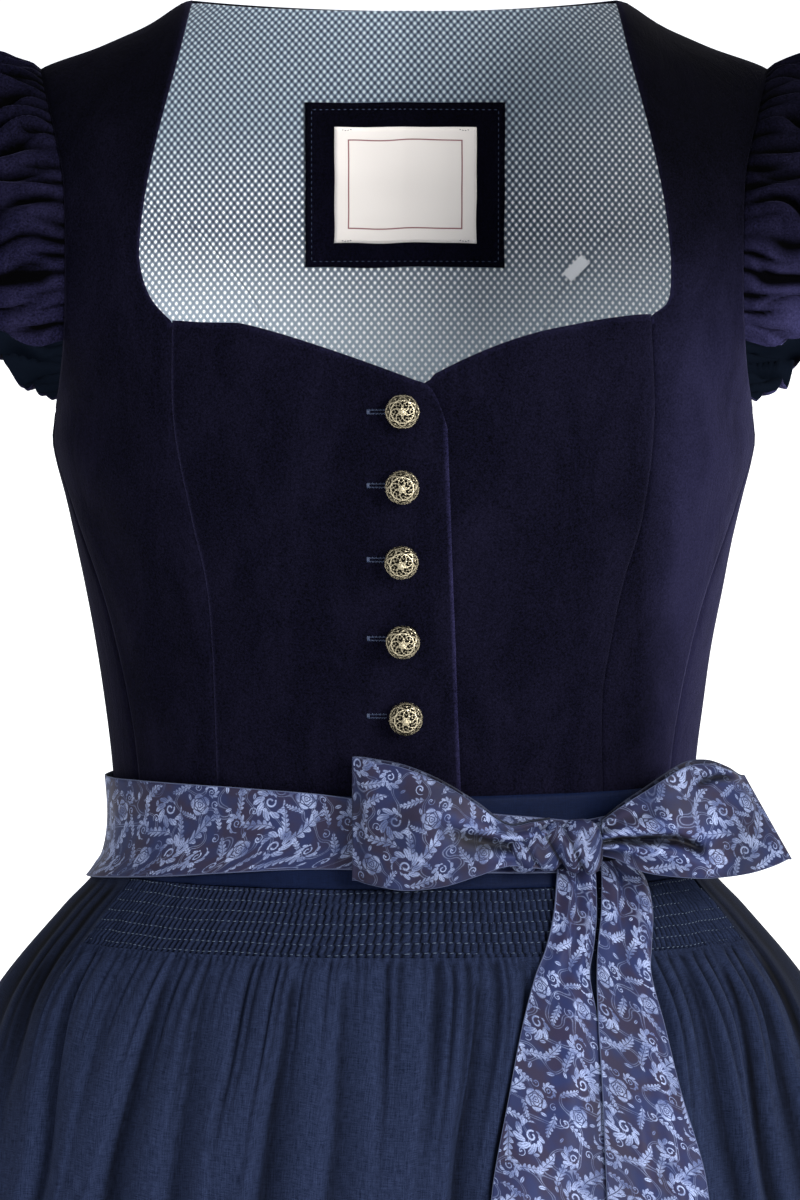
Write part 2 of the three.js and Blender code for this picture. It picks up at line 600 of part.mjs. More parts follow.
function addSkirt() {
  const panel = (name, middle, seamY) => {
    const place = (z, fold, out) => {
      const p = form(fold.angle, z, out - column(FOLD_DEPTH, "skirt", z) * fold.deep);
      return fold.atSeam ? p.setY(seamY) : p;
    };
    const folds = steps(SKIRT_FOLDS).map((t, i) => {
      const atSeam = i === 0 || i === SKIRT_FOLDS;
      const sway = atSeam ? 0 : 0.025 * Math.sin(5 * i);
      const deep = i % 2 ? 0.8 + 0.2 * Math.sin(3 * i) : 0;
      return { angle: middle + (t - 0.5) * Math.PI + sway, deep, atSeam };
    });
    add(name, "linen", cloth(SKIRT_ROWS, folds, place, 0, LINEN));
  };
  panel("skirt_front", 0, -SEAM_GAP / 2);
  panel("skirt_back", Math.PI, SEAM_GAP / 2);
}

// Apron
const APRON_REACH = 1.47; // the apron's side edge, as an angle of the ring
const SMOCK_FROM = -1.03; // the smocking's two ends
const SMOCK_TO = 1.16;
const APRON_OUT = APRON_GAP + LINEN;

function addWaistband() {
  const angles = steps(36).map((t) => lerp(-APRON_REACH, APRON_REACH, t));
  const place = (z, angle, out) => form(angle, z, out + lapBulge(form(angle, z).x, z));
  const rows = [BAND_BOTTOM_Z, -395, -386, -374, BAND_TOP_Z];
  add("apron_waistband", "sateen", cloth(rows, angles, place, LAYER_GAP + BAND, BAND));
}

// The smocked top is pleated into fine upright ribs, raised on the outside only.
const RIBS = 96;
const RIB_HEIGHT = 0.9;

function addSmocking() {
  const outer = [];
  const inner = [];
  for (const z of [SMOCK_BOTTOM_Z, SMOCK_TOP_Z]) {
    const angles = steps(2 * RIBS).map((t) => lerp(SMOCK_FROM, SMOCK_TO, t));
    outer.push(angles.map((angle, i) => form(angle, z, APRON_OUT + (i % 2 ? RIB_HEIGHT : 0))));
    inner.push(angles.map((angle) => form(angle, z, APRON_GAP)));
  }
  add("apron_smocking", "linen", wall(outer, inner));
}

// The gathered apron. Each trough of its folds lies between two crests. The cloth hangs from the smocking and,
// beyond the smocking's ends, from the band; it is cut straight up at both ends of the smocking.
const APRON_ROWS = [APRON_HEM_Z, -800, -640, -533, -480, -450, SMOCK_BOTTOM_Z - SEAM_GAP];

function addApron() {
  const reach = Math.sin(APRON_REACH);
  const edge = { top: 1, low: 1, deep: 0 };
  const places = [{ ...edge, top: -1, low: -1 }];
  for (const fold of [...APRON_FOLDS, edge]) {
    const before = places[places.length - 1];
    for (const t of [0.33, 0.67])
      places.push({ top: lerp(before.top, fold.top, t), low: lerp(before.low, fold.low, t), deep: 0 });
    places.push(fold);
  }
  for (const [angle, inwards] of [[SMOCK_FROM, 1], [SMOCK_TO, -1]])
    for (const step of [0.004, 0.007]) {
      const top = Math.sin(angle - inwards * step) / reach;
      const next = places.findIndex((place) => place.top > top);
      const t = (top - places[next - 1].top) / (places[next].top - places[next - 1].top);
      const low = lerp(places[next - 1].low, places[next].low, t);
      const deep = lerp(places[next - 1].deep, places[next].deep, t);
      places.splice(next, 0, { top, low, deep });
    }
  const place = (row, fold, out) => {
    const start = Math.asin(fold.top * reach);
    const beside = start < SMOCK_FROM - 0.006 || start > SMOCK_TO + 0.006;
    const z = row === 0 ? (beside ? SMOCK_TOP_Z : SMOCK_BOTTOM_Z - SEAM_GAP) : row;
    const drift = smooth(SMOCK_BOTTOM_Z, SMOCK_BOTTOM_Z - 110, z);
    const angle = Math.asin(lerp(fold.top, fold.low, drift) * reach);
    return form(angle, z, out + column(FOLD_DEPTH, "apron", z) * (1 - fold.deep));
  };
  add("apron_skirt", "linen", cloth([...APRON_ROWS, 0], places, place, APRON_OUT, LINEN));
}

// The printed ribbon round the waist, bunched towards the knot.
function addRibbonBand() {
  const knotAngle = angleOf(KNOT.x, KNOT.z);
  const turns = steps(64).map((t) => lerp(0.012, 2 * Math.PI - 0.012, t));
  const place = (v, turn, out) => {
    const angle = knotAngle - turn;
    const away = Math.min(turn, 2 * Math.PI - turn) * WAIST_RADIUS;
    const z = lerp(column(RIBBON_EDGES, "bottom", -away), column(RIBBON_EDGES, "top", -away), v);
    const facing = Math.cos(angle);
    const overBand = smooth(-0.2, 0.05, facing) * (BAND + LAYER_GAP) + 1.2 * smooth(-398, -404, z);
    const bulge = Math.max(0, facing) * lapBulge(form(angle, z).x, z);
    return form(angle, z, out + overBand + bulge + RIBBON_GAP + RIBBON);
  };
  add("ribbon_band", "ribbon", cloth(steps(3), turns, place, 0, RIBBON));
}

// A bow loop: the ribbon runs out in front, turns round at the fold and comes back behind.
function addLoop(name, table, slant) {
  const outSide = Math.sign(table[table.length - 1].x - table[0].x);
  const tip = table[table.length - 1];
  const path = [
    ...table.map((row) => ({ ...row, y: row.front })),
    { ...tip, x: tip.x + outSide * 2.2, y: (tip.front + tip.rear) / 2 },
    ...table.toReversed().map((row) => ({ ...row, y: row.rear })),
  ];
  const centre = path.map((row, i) => {
    const a = path[Math.max(i - 1, 0)];
    const b = path[Math.min(i + 1, path.length - 1)];
    return { row, normal: vec(b.y - a.y, a.x - b.x, 0).normalize() };
  });
  const widths = steps(5);
  const layer = (offset) =>
    widths.map((v) =>
      centre.map(({ row, normal }) => {
        const lean = slant * (0.5 - v) * smooth(tip.x - outSide * 60, tip.x, row.x);
        const fullness = Math.sin(Math.PI * v) * smooth(70, 0, Math.abs(row.x - tip.x));
        const crown = LOOP_CROWN * fullness * (row.y === row.rear ? 0.3 : -1);
        const p = vec(row.x + lean, row.y + crown, lerp(row.bottom, row.top, v));
        return p.addScaledVector(normal, outSide * offset);
      }),
    );
  add(name, "ribbon", wall(layer(0), layer(-RIBBON)));
}

// The knot: a wrapped, tightly creased bundle.
function addKnot() {
  const geometry = new THREE.SphereGeometry(1, 14, 10);
  const p = geometry.attributes.position;
  for (let i = 0; i < p.count; i++) {
    const soft = (value) => Math.sign(value) * Math.abs(value) ** 0.75;
    const crease = 1 - 0.05 * (1 + Math.cos(7 * p.getX(i) + 2 * p.getZ(i)));
    const x = KNOT.x + KNOT.halfX * soft(p.getX(i)) * 0.98;
    const y = KNOT.y + KNOT.halfY * soft(p.getZ(i)) * crease;
    const z = KNOT.z + KNOT.halfZ * soft(p.getY(i)) * crease;
    p.setXYZ(i, x, y, z);
  }
  geometry.index.array.reverse();
  geometry.computeVertexNormals();
  add("bow_knot", "ribbon", geometry);
}

// The tails hang from the knot over the apron's folds.
function addTail(name, table, lift) {
  const rows = table.map((row) => row.z);
  const place = (z, u, out) => {
    const x = lerp(column(table, "left", z), column(table, "right", z), u);
    const slanted = z === rows[rows.length - 1] ? z - 22 * (u - 0.5) : z;
    const clear = APRON_OUT + RIB_HEIGHT + column(FOLD_DEPTH, "apron", z) + RIBBON_GAP + lift;
    return form(angleOf(x, z, clear), slanted, clear + out);
  };
  add(name, "ribbon", cloth(rows.toReversed(), steps(5), place, RIBBON, RIBBON));
}

addFrontCentres();
addFrontSide("front_side_right", -1);
addFrontSide("front_side_left", 1);
addBacks();
addLining();
addLabels();
addSleeve("sleeve_right", -1);
addSleeve("sleeve_left", 1);
addButtons();
addSkirt();
addWaistband();
addSmocking();
addApron();
addRibbonBand();
addLoop("bow_loop_right", RIGHT_LOOP, 0);
addLoop("bow_loop_left", LEFT_LOOP, LOOP_SLANT * 2);
addKnot();
addTail("tail_under", UNDER_TAIL, 0);
addTail("tail_over", OVER_TAIL, 1.9);

export default dirndl;
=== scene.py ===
import math

import bmesh
import bpy
import numpy as np
from mathutils import Matrix, Vector


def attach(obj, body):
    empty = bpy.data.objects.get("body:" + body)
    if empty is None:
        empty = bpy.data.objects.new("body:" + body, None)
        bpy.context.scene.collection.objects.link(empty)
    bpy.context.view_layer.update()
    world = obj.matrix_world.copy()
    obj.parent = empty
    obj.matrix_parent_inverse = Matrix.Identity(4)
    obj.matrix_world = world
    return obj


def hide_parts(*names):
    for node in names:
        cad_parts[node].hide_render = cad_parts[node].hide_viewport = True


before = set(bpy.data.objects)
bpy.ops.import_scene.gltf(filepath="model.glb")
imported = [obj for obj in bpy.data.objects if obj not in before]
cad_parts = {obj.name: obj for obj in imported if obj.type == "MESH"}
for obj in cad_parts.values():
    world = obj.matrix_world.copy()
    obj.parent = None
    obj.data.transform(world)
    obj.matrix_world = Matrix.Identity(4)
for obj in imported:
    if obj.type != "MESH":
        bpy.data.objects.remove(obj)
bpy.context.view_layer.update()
scene = bpy.context.scene

# Studio. A wide pale floor well below the hem, an even pale surround, a large soft lamp at the front right, a
# weaker one at the left and one behind that draws the edges. The camera looks slightly down at the bodice.
CAMERA_AIM = Vector((-0.0019, 0, -0.279))
CAMERA_AWAY = 3.2
CAMERA_DOWN = math.radians(4.5)
CAMERA_LENS = 204.26
FLOOR_Z, FLOOR_RADIUS = -1.35, 40
# How bright the surround and the floor light the piece, and how bright the camera sees them
SKY_LEVELS, FLOOR_LEVELS = (0.62, 1.25), (0.35, 1.0)


def put(tree, kind, *fed, **words):
    """A shader node. fed fills its inputs in order. A word in lower case is a setting and any other an input."""
    made = tree.nodes.new("ShaderNode" + kind)
    for word, value in words.items():
        if word[0].islower():
            setattr(made, word, value)
    wanted = list(zip(made.inputs, fed))
    wanted += [(made.inputs[w.replace("_", " ")], v) for w, v in words.items() if not w[0].islower()]
    for socket, value in wanted:
        if isinstance(value, bpy.types.NodeSocket):
            tree.links.new(value, socket)
        elif value is not None:
            socket.default_value = value
    return made


def ramp(tree, value, low, high, start=0.0, end=1.0):
    """The value carried over from low and high to start and end, and held there beyond them."""
    return put(tree, "MapRange", value, low, high, start, end).outputs[0]


def feed(tree, shader, **fed):
    """Links sockets to the named inputs of a shader node."""
    for word, socket in fed.items():
        tree.links.new(socket, shader.inputs[word.replace("_", " ")])


def finish(name, color, roughness, **words):
    """A new material with its Principled shader, of which words fill more inputs."""
    made = bpy.data.materials.new(name)
    made.use_nodes = True
    shader = made.node_tree.nodes["Principled BSDF"]
    words.update(Base_Color=(*color, 1), Roughness=roughness)
    for word, value in words.items():
        shader.inputs[word.replace("_", " ")].default_value = value
    made.diffuse_color = (*color, 1)
    return made, made.node_tree, shader


def mesh_of(shape, name):
    mesh = bpy.data.meshes.new(name)
    shape.to_mesh(mesh)
    shape.free()
    return mesh


def new_piece(name, mesh, *materials):
    piece = bpy.data.objects.new(name, mesh)
    scene.collection.objects.link(piece)
    for material in materials:
        mesh.materials.append(material)
    return piece


def lamp(name, place, energy, width, height):
    light = bpy.data.lights.new(name, "AREA")
    light.shape = "RECTANGLE"
    light.energy, light.size, light.size_y = energy, width, height
    made = bpy.data.objects.new(name, light)
    made.location = place
    made.rotation_euler = (CAMERA_AIM - Vector(place)).to_track_quat("-Z", "Y").to_euler()
    scene.collection.objects.link(made)


lamp("key", (1.9, -2.3, 0.5), 104, 1.3, 1.3)
lamp("fill", (-2.4, -2.0, 0.3), 14, 1.6, 2.0)
lamp("rim", (1.6, 2.0, 1.0), 20, 1.2, 1.6)

surround = bpy.data.worlds.new("surround")
scene.world = surround
surround.use_nodes = True
sky = surround.node_tree.nodes["Background"]
sky.inputs["Color"].default_value = (0.94, 0.96, 1, 1)
seen = put(surround.node_tree, "LightPath").outputs["Is Camera Ray"]
feed(surround.node_tree, sky, Strength=ramp(surround.node_tree, seen, 0.0, 1.0, *SKY_LEVELS))

shape = bmesh.new()
bmesh.ops.create_circle(shape, cap_ends=True, segments=64, radius=FLOOR_RADIUS)
bmesh.ops.translate(shape, verts=shape.verts, vec=(0, 0, FLOOR_Z))
floor_mesh = mesh_of(shape, "floor")
pale, pale_tree, pale_shader = finish("pale_floor", (0.9, 0.9, 0.9), 0.9, Emission_Color=(1, 1, 1, 1))
floor_seen = put(pale_tree, "LightPath").outputs["Is Camera Ray"]
feed(pale_tree, pale_shader, Emission_Strength=ramp(pale_tree, floor_seen, 0.0, 1.0, *FLOOR_LEVELS))
new_piece("floor", floor_mesh, pale)

lens = bpy.data.cameras.new("camera")
lens.lens = CAMERA_LENS
camera = bpy.data.objects.new("camera", lens)
back = Vector((0, -math.cos(CAMERA_DOWN), math.sin(CAMERA_DOWN)))
camera.location = CAMERA_AIM + CAMERA_AWAY * back
camera.rotation_euler = (math.pi / 2 - CAMERA_DOWN, 0, 0)
scene.collection.objects.link(camera)
scene.camera = camera
scene.view_settings.view_transform = "Standard"

# Bodice fronts. Four panels of dark blue cotton velvet, fully lined: two centre fronts, of which the wearer's
# right laps over the left and is buttoned, and two side fronts that run on up as the shoulder straps. The
# princess seams are sewn inside out and pressed, so each shows as a fine groove. Lengths here are millimetres.
WAIST, CORNER, UNDERARM = -372.0, -145.0, -189.0
FRONT_WALL, BACK_WALL = 1.7, 1.3
SHOULDER = (101.0, 170.0, 0.435)  # inner and outer end, and slope
# The worn form: its half width, its depth to the front and back and how square it is, at each height
RING_Z = [-30, -110, -145, -168, -189, -205, -233, -280, -327, -362, -386, -404, -421, -444, -468, -533, -620]
RING_Z += [-760, -1020]
RING = {
    "half": [184, 176, 173, 168, 163.5, 164.5, 158, 148, 140.5, 136.5, 136, 141.5, 157, 175.5, 190, 218]
    + [246, 281, 328],
    "front": [112, 114, 115.5, 116.5, 117.5, 118, 115.5, 107, 99.5, 96, 96.5, 100.5, 110.5, 122, 133, 158]
    + [186, 226, 279],
    "back": [100, 101, 102, 102, 102, 101, 98, 92, 88, 86.5, 87.5, 92, 103, 117, 130, 158, 188, 230, 286],
    "square": [2.25] * 12 + [2.2, 2.2, 2.15, 2.1, 2.05, 2.0, 2.0],
}
FRONT_SEAM_Z = [-145, -190, -236, -263, -290, -316, -372]
FRONT_SEAM = {-1: [106, 105.5, 97, 91, 88.5, 87.5, 86], 1: [113, 114.5, 109, 101, 95.5, 91.5, 92]}
NECK_EDGE_Z = [0, -19, -54, -84, -110, -122, -131, -137, -141.5, -144, -145]
NECK_EDGE = {
    -1: [99.5, 103.5, 113, 119, 121.5, 120.0, 117.0, 113.4, 109.2, 106.6, 106],
    1: [99.5, 103.5, 113, 119, 122, 122.2, 121.7, 119.4, 113.3, 113, 113],
}
ARM_EDGE = ([-30, -57, -84, -130, -155, -175, -189], [170, 163, 157.5, 156.5, 157.5, 160, 163.4])
SIDE_SEAM = ([-189, -233, -280, -327, -372], [1, 0.975, 0.93, 0.905, 0.9])
NECK_POINT, NECK_HALF, NECK_Z = (7.0, -171.0), 83, -144.6  # lowest point, half the dip's width, height beside it
NECK_CORNER_X = {-1: -106.0, 1: 113.0}
LAP_X, LAP_CORNER_Z, LAP_SPREAD = 19.5, -192.0, 6.5  # the buttoned edge, its rounded corner and its slant
FRONT_LAP = 2.7
UNDERLAP_X = -10.0
DIAMOND = (3.5, 4.4)  # the lining's repeat across and along
SEAM_GAP = 0.0006  # how far a panel keeps from its seam line, as an angle


def at(stations, values, z):
    """The value at each height, on a smooth curve through its stations, which run from the top down."""
    s = -np.asarray(stations, float)
    value = np.asarray(values, float)
    q = np.clip(-np.asarray(z, float), s[0], s[-1])
    last = len(s) - 1
    low, high = np.maximum(np.arange(last + 1) - 1, 0), np.minimum(np.arange(last + 1) + 1, last)
    slope = (value[high] - value[low]) / (s[high] - s[low])
    i = np.clip(np.searchsorted(s, q, side="right") - 1, 0, last - 1)
    span = s[i + 1] - s[i]
    t = (q - s[i]) / span
    along = value[i] * (1 + 2 * t) * (1 - t) ** 2 + value[i + 1] * t * t * (3 - 2 * t)
    return along + span * (slope[i] * t * (1 - t) ** 2 - slope[i + 1] * t * t * (1 - t))


def ease(a, b, x):
    t = np.clip((np.asarray(x, float) - a) / (b - a), 0, 1)
    return t * t * (3 - 2 * t)


def bell(x, middle, width):
    return np.exp(-(((x - middle) / width) ** 2))


def ridge(x):
    """The shoulder line: a little high at the neck's corner and low further out."""
    x = np.abs(x)
    line = (SHOULDER[0] - x) * SHOULDER[2]
    return line + 2 * (1 - ease(98, 118, x)) - 2 * ease(104, 125, x) * (1 - ease(140, 168, x))


def form(angle, z, out=0.0):
    """Points on the worn garment. angle is 0 at the front's middle and grows to the wearer's left."""
    angle, z = np.broadcast_arrays(np.asarray(angle, float), np.asarray(z, float))
    power = 2 / at(RING_Z, RING["square"], z)
    s, c = np.sin(angle), np.cos(angle)
    x = np.sign(s) * np.abs(s) ** power * (at(RING_Z, RING["half"], z) + out)
    depth = np.where(c > 0, at(RING_Z, RING["front"], z), at(RING_Z, RING["back"], z)) + out
    share = np.clip((ridge(x) - z) / np.maximum(ridge(x) - UNDERARM, 1), 0, 1)
    arch = np.where(z > UNDERARM, np.sqrt(np.maximum(1 - (1 - share) ** 2.2, 0)), 1)
    return np.stack([x, -np.sign(c) * np.abs(c) ** power * depth * arch, z], -1)


def angle_at(x, z, out=0.0):
    share = np.minimum(1, np.abs(x) / (at(RING_Z, RING["half"], z) + out))
    return np.sign(x) * np.arcsin(share ** (at(RING_Z, RING["square"], z) / 2))


def skin(angle, z, out):
    """Points on the bodice, moved out along the cloth's own normal."""
    angle, z = np.broadcast_arrays(np.asarray(angle, float), np.asarray(z, float))
    p = form(angle, z)
    below = np.minimum(z, ridge(p[..., 0]) - 1.5)
    across = form(angle + 0.004, below) - form(angle - 0.004, below)
    up = form(angle, below + 0.7) - form(angle, below - 0.7)
    normal = np.cross(across, up)
    top = ridge(p[..., 0]) - z < 0.5
    normal[..., 1] = np.where(top, 0, normal[..., 1])
    normal /= np.linalg.norm(normal, axis=-1, keepdims=True)
    p[..., 1] = np.where(top, np.where(np.cos(angle) > 0, -0.15, 0.15), p[..., 1])
    return p + normal * np.asarray(out)[..., None]


def wander(a, b, seed, waves=5):
    """A soft uneven swell between about -1 and 1, over two lengths that are measured in its own wavelengths."""
    dice = np.random.default_rng(seed)
    total = 0
    for k in range(waves):
        way = dice.uniform(0, 2 * math.pi)
        pitch = 2 * math.pi * dice.uniform(0.7, 1.6)
        total = total + np.sin(pitch * (a * math.cos(way) + b * math.sin(way)) + dice.uniform(0, 6.3))
    return total / math.sqrt(waves) / 1.4


def cloth(name, across, up, surface, wall, *materials, inside=0, turned=False, hem="", lay=None):
    """A piece of cloth: a flat grid whose points move onto surface(u, v), and a wall that grows inwards. Its UV
    map holds the cloth's own lengths in millimetres, from the middle of its bottom edge or as lay tells. hem names
    the way across a ribbon, whose points then know how far in from its long edges they lie. A surface may also
    give a painted shade for each point, mostly deep in its folds, which goes into a point attribute that the
    finishes darken by; below 0 it is a painted highlight on an edge."""
    shape = bmesh.new()
    bmesh.ops.create_grid(shape, x_segments=across, y_segments=up, size=0.5)
    mesh = mesh_of(shape, name)
    flat = np.empty(3 * len(mesh.vertices))
    mesh.vertices.foreach_get("co", flat)
    flat = flat.reshape(-1, 3) + 0.5
    column, row = np.rint(flat[:, 0] * across).astype(int), np.rint(flat[:, 1] * up).astype(int)
    u, v = np.meshgrid(np.linspace(0, 1, across + 1), np.linspace(0, 1, up + 1))
    made = surface(1 - u if turned else u, v)
    grid, painted_shade = made if isinstance(made, tuple) else (made, None)
    mesh.vertices.foreach_set("co", (grid[row, column] * 0.001).ravel())
    step_u = np.linalg.norm(np.diff(grid, axis=1), axis=2)
    run_u = np.concatenate([np.zeros((up + 1, 1)), np.cumsum(step_u, axis=1)], axis=1)
    run_u -= run_u[:, across // 2][:, None]
    step_v = np.linalg.norm(np.diff(grid, axis=0), axis=2)
    run_v = np.concatenate([np.zeros((1, across + 1)), np.cumsum(step_v, axis=0)])
    ends = np.empty(len(mesh.loops), int)
    mesh.loops.foreach_get("vertex_index", ends)
    lengths = np.stack(np.broadcast_arrays(run_u, run_v), -1) if lay is None else lay(grid)
    lengths = lengths[row, column]

    def tell(attribute, values):
        mesh.attributes.new(attribute, "FLOAT", "POINT").data.foreach_set("value", values[row, column])

    # The painted shade from the surface. Below 0 it is a painted highlight.
    if painted_shade is not None:
        tell("painted_shade", np.clip(painted_shade, -1, 1))
    if hem:
        inwards = run_v if hem == "v" else run_u - run_u[:, :1]
        inwards = np.minimum(inwards, (run_v[-1:] if hem == "v" else inwards[:, -1:]) - inwards)
        tell("hem", inwards)
    if hem == "u":
        lengths = lengths[:, ::-1]
    mesh.uv_layers.new(name="Cloth").data.foreach_set("uv", lengths[ends].ravel())
    mesh.shade_smooth()
    piece = new_piece(name, mesh, *materials)
    if wall:
        grown = piece.modifiers.new("wall", "SOLIDIFY")
        grown.thickness = wall * 0.001
        grown.offset = -1
        grown.material_offset = inside
    return piece


def sewn(piece, nodes):
    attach(piece, "root")
    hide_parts(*nodes)
    return piece


def seam_roll(distance):
    """How far a panel's edge rolls in towards its seam, by the distance from that edge."""
    return -0.9 * np.exp(-np.maximum(distance, 0) / 1.3)


def reckon(tree, operation, *fed, **words):
    return put(tree, "Math", *fed, operation=operation, **words).outputs[0]


def scaled(tree, value, factor, shift, **words):
    """The value times factor, plus shift."""
    return reckon(tree, "MULTIPLY_ADD", value, factor, shift, **words)


def product(tree, *values):
    total = values[0]
    for value in values[1:]:
        total = reckon(tree, "MULTIPLY", total, value)
    return total


def mix(tree, share, first, second):
    return put(tree, "MixRGB", share, first, second).outputs[0]


def noise(tree, place, **words):
    return put(tree, "TexNoise", place, **words).outputs["Fac"]


def bumped(tree, height, strength, distance):
    return put(tree, "Bump", Strength=strength, Distance=distance, Height=height).outputs[0]


def known(tree, name):
    """What cloth() has told each point of a mesh under this name, such as "sunk" or "hem"."""
    return put(tree, "Attribute", attribute_name=name).outputs["Fac"]


def cloth_lengths(tree):
    return put(tree, "UVMap", uv_map="Cloth").outputs[0]


def velvet_finish(name, lift):
    """Dark blue pile: nearly black face on, lighter and a little violet where it is seen along the pile. The
    wearer's left side is painted lighter and more violet, with more sheen, as a painted highlight. It has painted
    shade in folds and high up the straps, most of all the left one, and a painted highlight on edges. lift is how
    much lighter than the fronts it is painted, as painted light."""
    tint = (0.3, 0.28, 0.6, 1)
    words = {"Sheen_Roughness": 0.35, "Sheen_Tint": tint, "Specular_IOR_Level": 0.03}
    made, tree, shader = finish(name, (0.003, 0.003, 0.009), 0.9, **words)
    place = put(tree, "TexCoord").outputs["Object"]
    brushed = put(tree, "Mapping", place, Scale=(1, 1, 0.45)).outputs[0]
    marks = noise(tree, brushed, Scale=34.0, Detail=6.0, Roughness=0.68, Distortion=0.6)
    pile = noise(tree, place, Scale=1100.0, Detail=3.0, Roughness=0.7)
    grains = ramp(tree, pile, 0.3, 0.74)
    # A mottle of rubbed pile: the velvet's own uneven tone.
    rubbed_pile_and_edge_highlight = ramp(tree, marks, 0.42, 0.72, 0.0, 0.85)
    x, _, z = put(tree, "SeparateXYZ", place).outputs
    # Painted highlight: on the wearer's left side below the strap the colour is lighter and more violet, in
    # mottled patches.
    patchy = ramp(tree, marks, 0.35, 0.65, 0.6, 1.2)
    turned = product(tree, ramp(tree, x, 0.108, 0.128), ramp(tree, z, -0.1, -0.175), patchy)
    # Painted shade in folds, read from the cloth's attribute, and a painted highlight on edges where that
    # attribute is below 0.
    painted_shade = known(tree, "painted_shade")
    painted_edge_highlight = ramp(tree, painted_shade, 0.0, -1.0, 1.0, 6.0)
    # Painted shade high up on the straps, deepest on the left strap.
    left_strap = product(tree, ramp(tree, x, 0.09, 0.115), ramp(tree, z, -0.16, -0.06, 0.0, 0.5))
    straps = ramp(tree, left_strap, 0.0, 1.0, ramp(tree, z, -0.13, -0.04, 1.0, 0.45), 0.0)
    # The painted light level: painted shade in folds and on the straps and a painted highlight on edges, with lift
    # elsewhere.
    painted_light_level = product(tree, ramp(tree, painted_shade, 0.0, 0.85, lift, 0.06), painted_edge_highlight, straps)
    shade = mix(tree, grains, (0, 0, 0, 1), (0.0044, 0.0041, 0.0135, 1))
    light = mix(tree, grains, (0.002, 0.0018, 0.006, 1), (0.0082, 0.0074, 0.02, 1))
    both = mix(tree, rubbed_pile_and_edge_highlight, shade, light)
    bright = mix(tree, grains, (0.0065, 0.0062, 0.019, 1), (0.0165, 0.0155, 0.042, 1))
    other = mix(tree, turned, both, bright)
    dimmed = put(tree, "VectorMath", other, painted_light_level, operation="MULTIPLY").outputs[0]
    # More sheen where the painted side highlight lies, and less in painted shade.
    painted_side_sheen = product(tree, ramp(tree, turned, 0.0, 1.0, 0.05, 0.15), painted_light_level)
    uneven = scaled(tree, marks, 6.0, pile)
    feed(tree, shader, Base_Color=dimmed, Sheen_Weight=painted_side_sheen, Normal=bumped(tree, uneven, 0.5, 0.0005))
    return made


def lining_finish():
    """White and grey blue jacquard: rows of small pale diamonds, set half a step over in each next row. It is
    painted darker near the top and lighter lower down and towards the wearer's left, as painted light, and its
    dots also vary a little at random."""
    made, tree, shader = finish("lining_jacquard", (0.23, 0.28, 0.35), 0.7, Sheen_Weight=0.1)
    u, v, _ = put(tree, "SeparateXYZ", cloth_lengths(tree)).outputs
    across = reckon(tree, "DIVIDE", u, DIAMOND[0])
    along = reckon(tree, "DIVIDE", v, DIAMOND[1])
    far = []
    for operation in ("ADD", "SUBTRACT"):
        cell = reckon(tree, "WRAP", reckon(tree, operation, across, along), 0.0, 1.0)
        far.append(reckon(tree, "ABSOLUTE", reckon(tree, "SUBTRACT", cell, 0.5)))
    dot = ramp(tree, reckon(tree, "MAXIMUM", *far), 0.2, 0.29, 1.0, 0.0)
    knot = ramp(tree, reckon(tree, "MINIMUM", *far), 0.1, 0.36)
    ground = mix(tree, knot, (0.11, 0.15, 0.205, 1), (0.016, 0.025, 0.047, 1))
    place = put(tree, "TexCoord").outputs["Object"]
    uneven = noise(tree, place, Scale=14.0, Detail=3.0)
    sideways, _, height = put(tree, "SeparateXYZ", place).outputs
    # Painted light where the left strap shades the lining, painted light lower down and painted shade near the
    # top. The dots also get a random unevenness.
    shadowed = ramp(tree, sideways, 0.05, 0.115, 0.0, 0.8)
    dot_painted_light_and_mottle = reckon(tree, "ADD", shadowed, ramp(tree, height, -0.04, -0.17, -0.75, 1.3))
    dot_painted_light_and_mottle = reckon(tree, "ADD", uneven, dot_painted_light_and_mottle)
    ground_painted_light = ramp(tree, height, -0.11, -0.17, 0.0, 0.75)
    ground_painted_light = scaled(tree, shadowed, 0.14, ground_painted_light, use_clamp=True)
    ground = mix(tree, ground_painted_light, ground, (0.45, 0.54, 0.62, 1))
    pale = mix(tree, dot_painted_light_and_mottle, (0.45, 0.53, 0.57, 1), (1, 1, 1, 1))
    colour = mix(tree, dot, ground, pale)
    feed(tree, shader, Base_Color=colour, Normal=bumped(tree, dot, 0.3, 0.0002))
    return made


velvet = velvet_finish("velvet", 1.0)
lining = lining_finish()


def seam_x(side, z):
    return at(FRONT_SEAM_Z, FRONT_SEAM[side], z)


def neck_height(x):
    """The fronts' neck edge, which is rounder on the wearer's left and rises a little at its corners."""
    dip = np.maximum(0, 1 - np.abs(x - NECK_POINT[0]) / NECK_HALF) ** np.where(x > NECK_POINT[0], 1.8, 1.2)
    corners = 3.4 * ease(72, 112, x) + 0.6 * ease(-90, -106, x)
    return NECK_Z + (NECK_POINT[1] - NECK_Z) * dip + corners


def front_swell(x, z):
    """The small unevenness of the worn fronts, which is held flat along the princess seams."""
    near = np.minimum(np.abs(np.abs(x) - seam_x(-1, z)), np.abs(np.abs(x) - seam_x(1, z)))
    return 0.7 * wander(x / 50, z / 36, 3) * ease(0, 16, near)


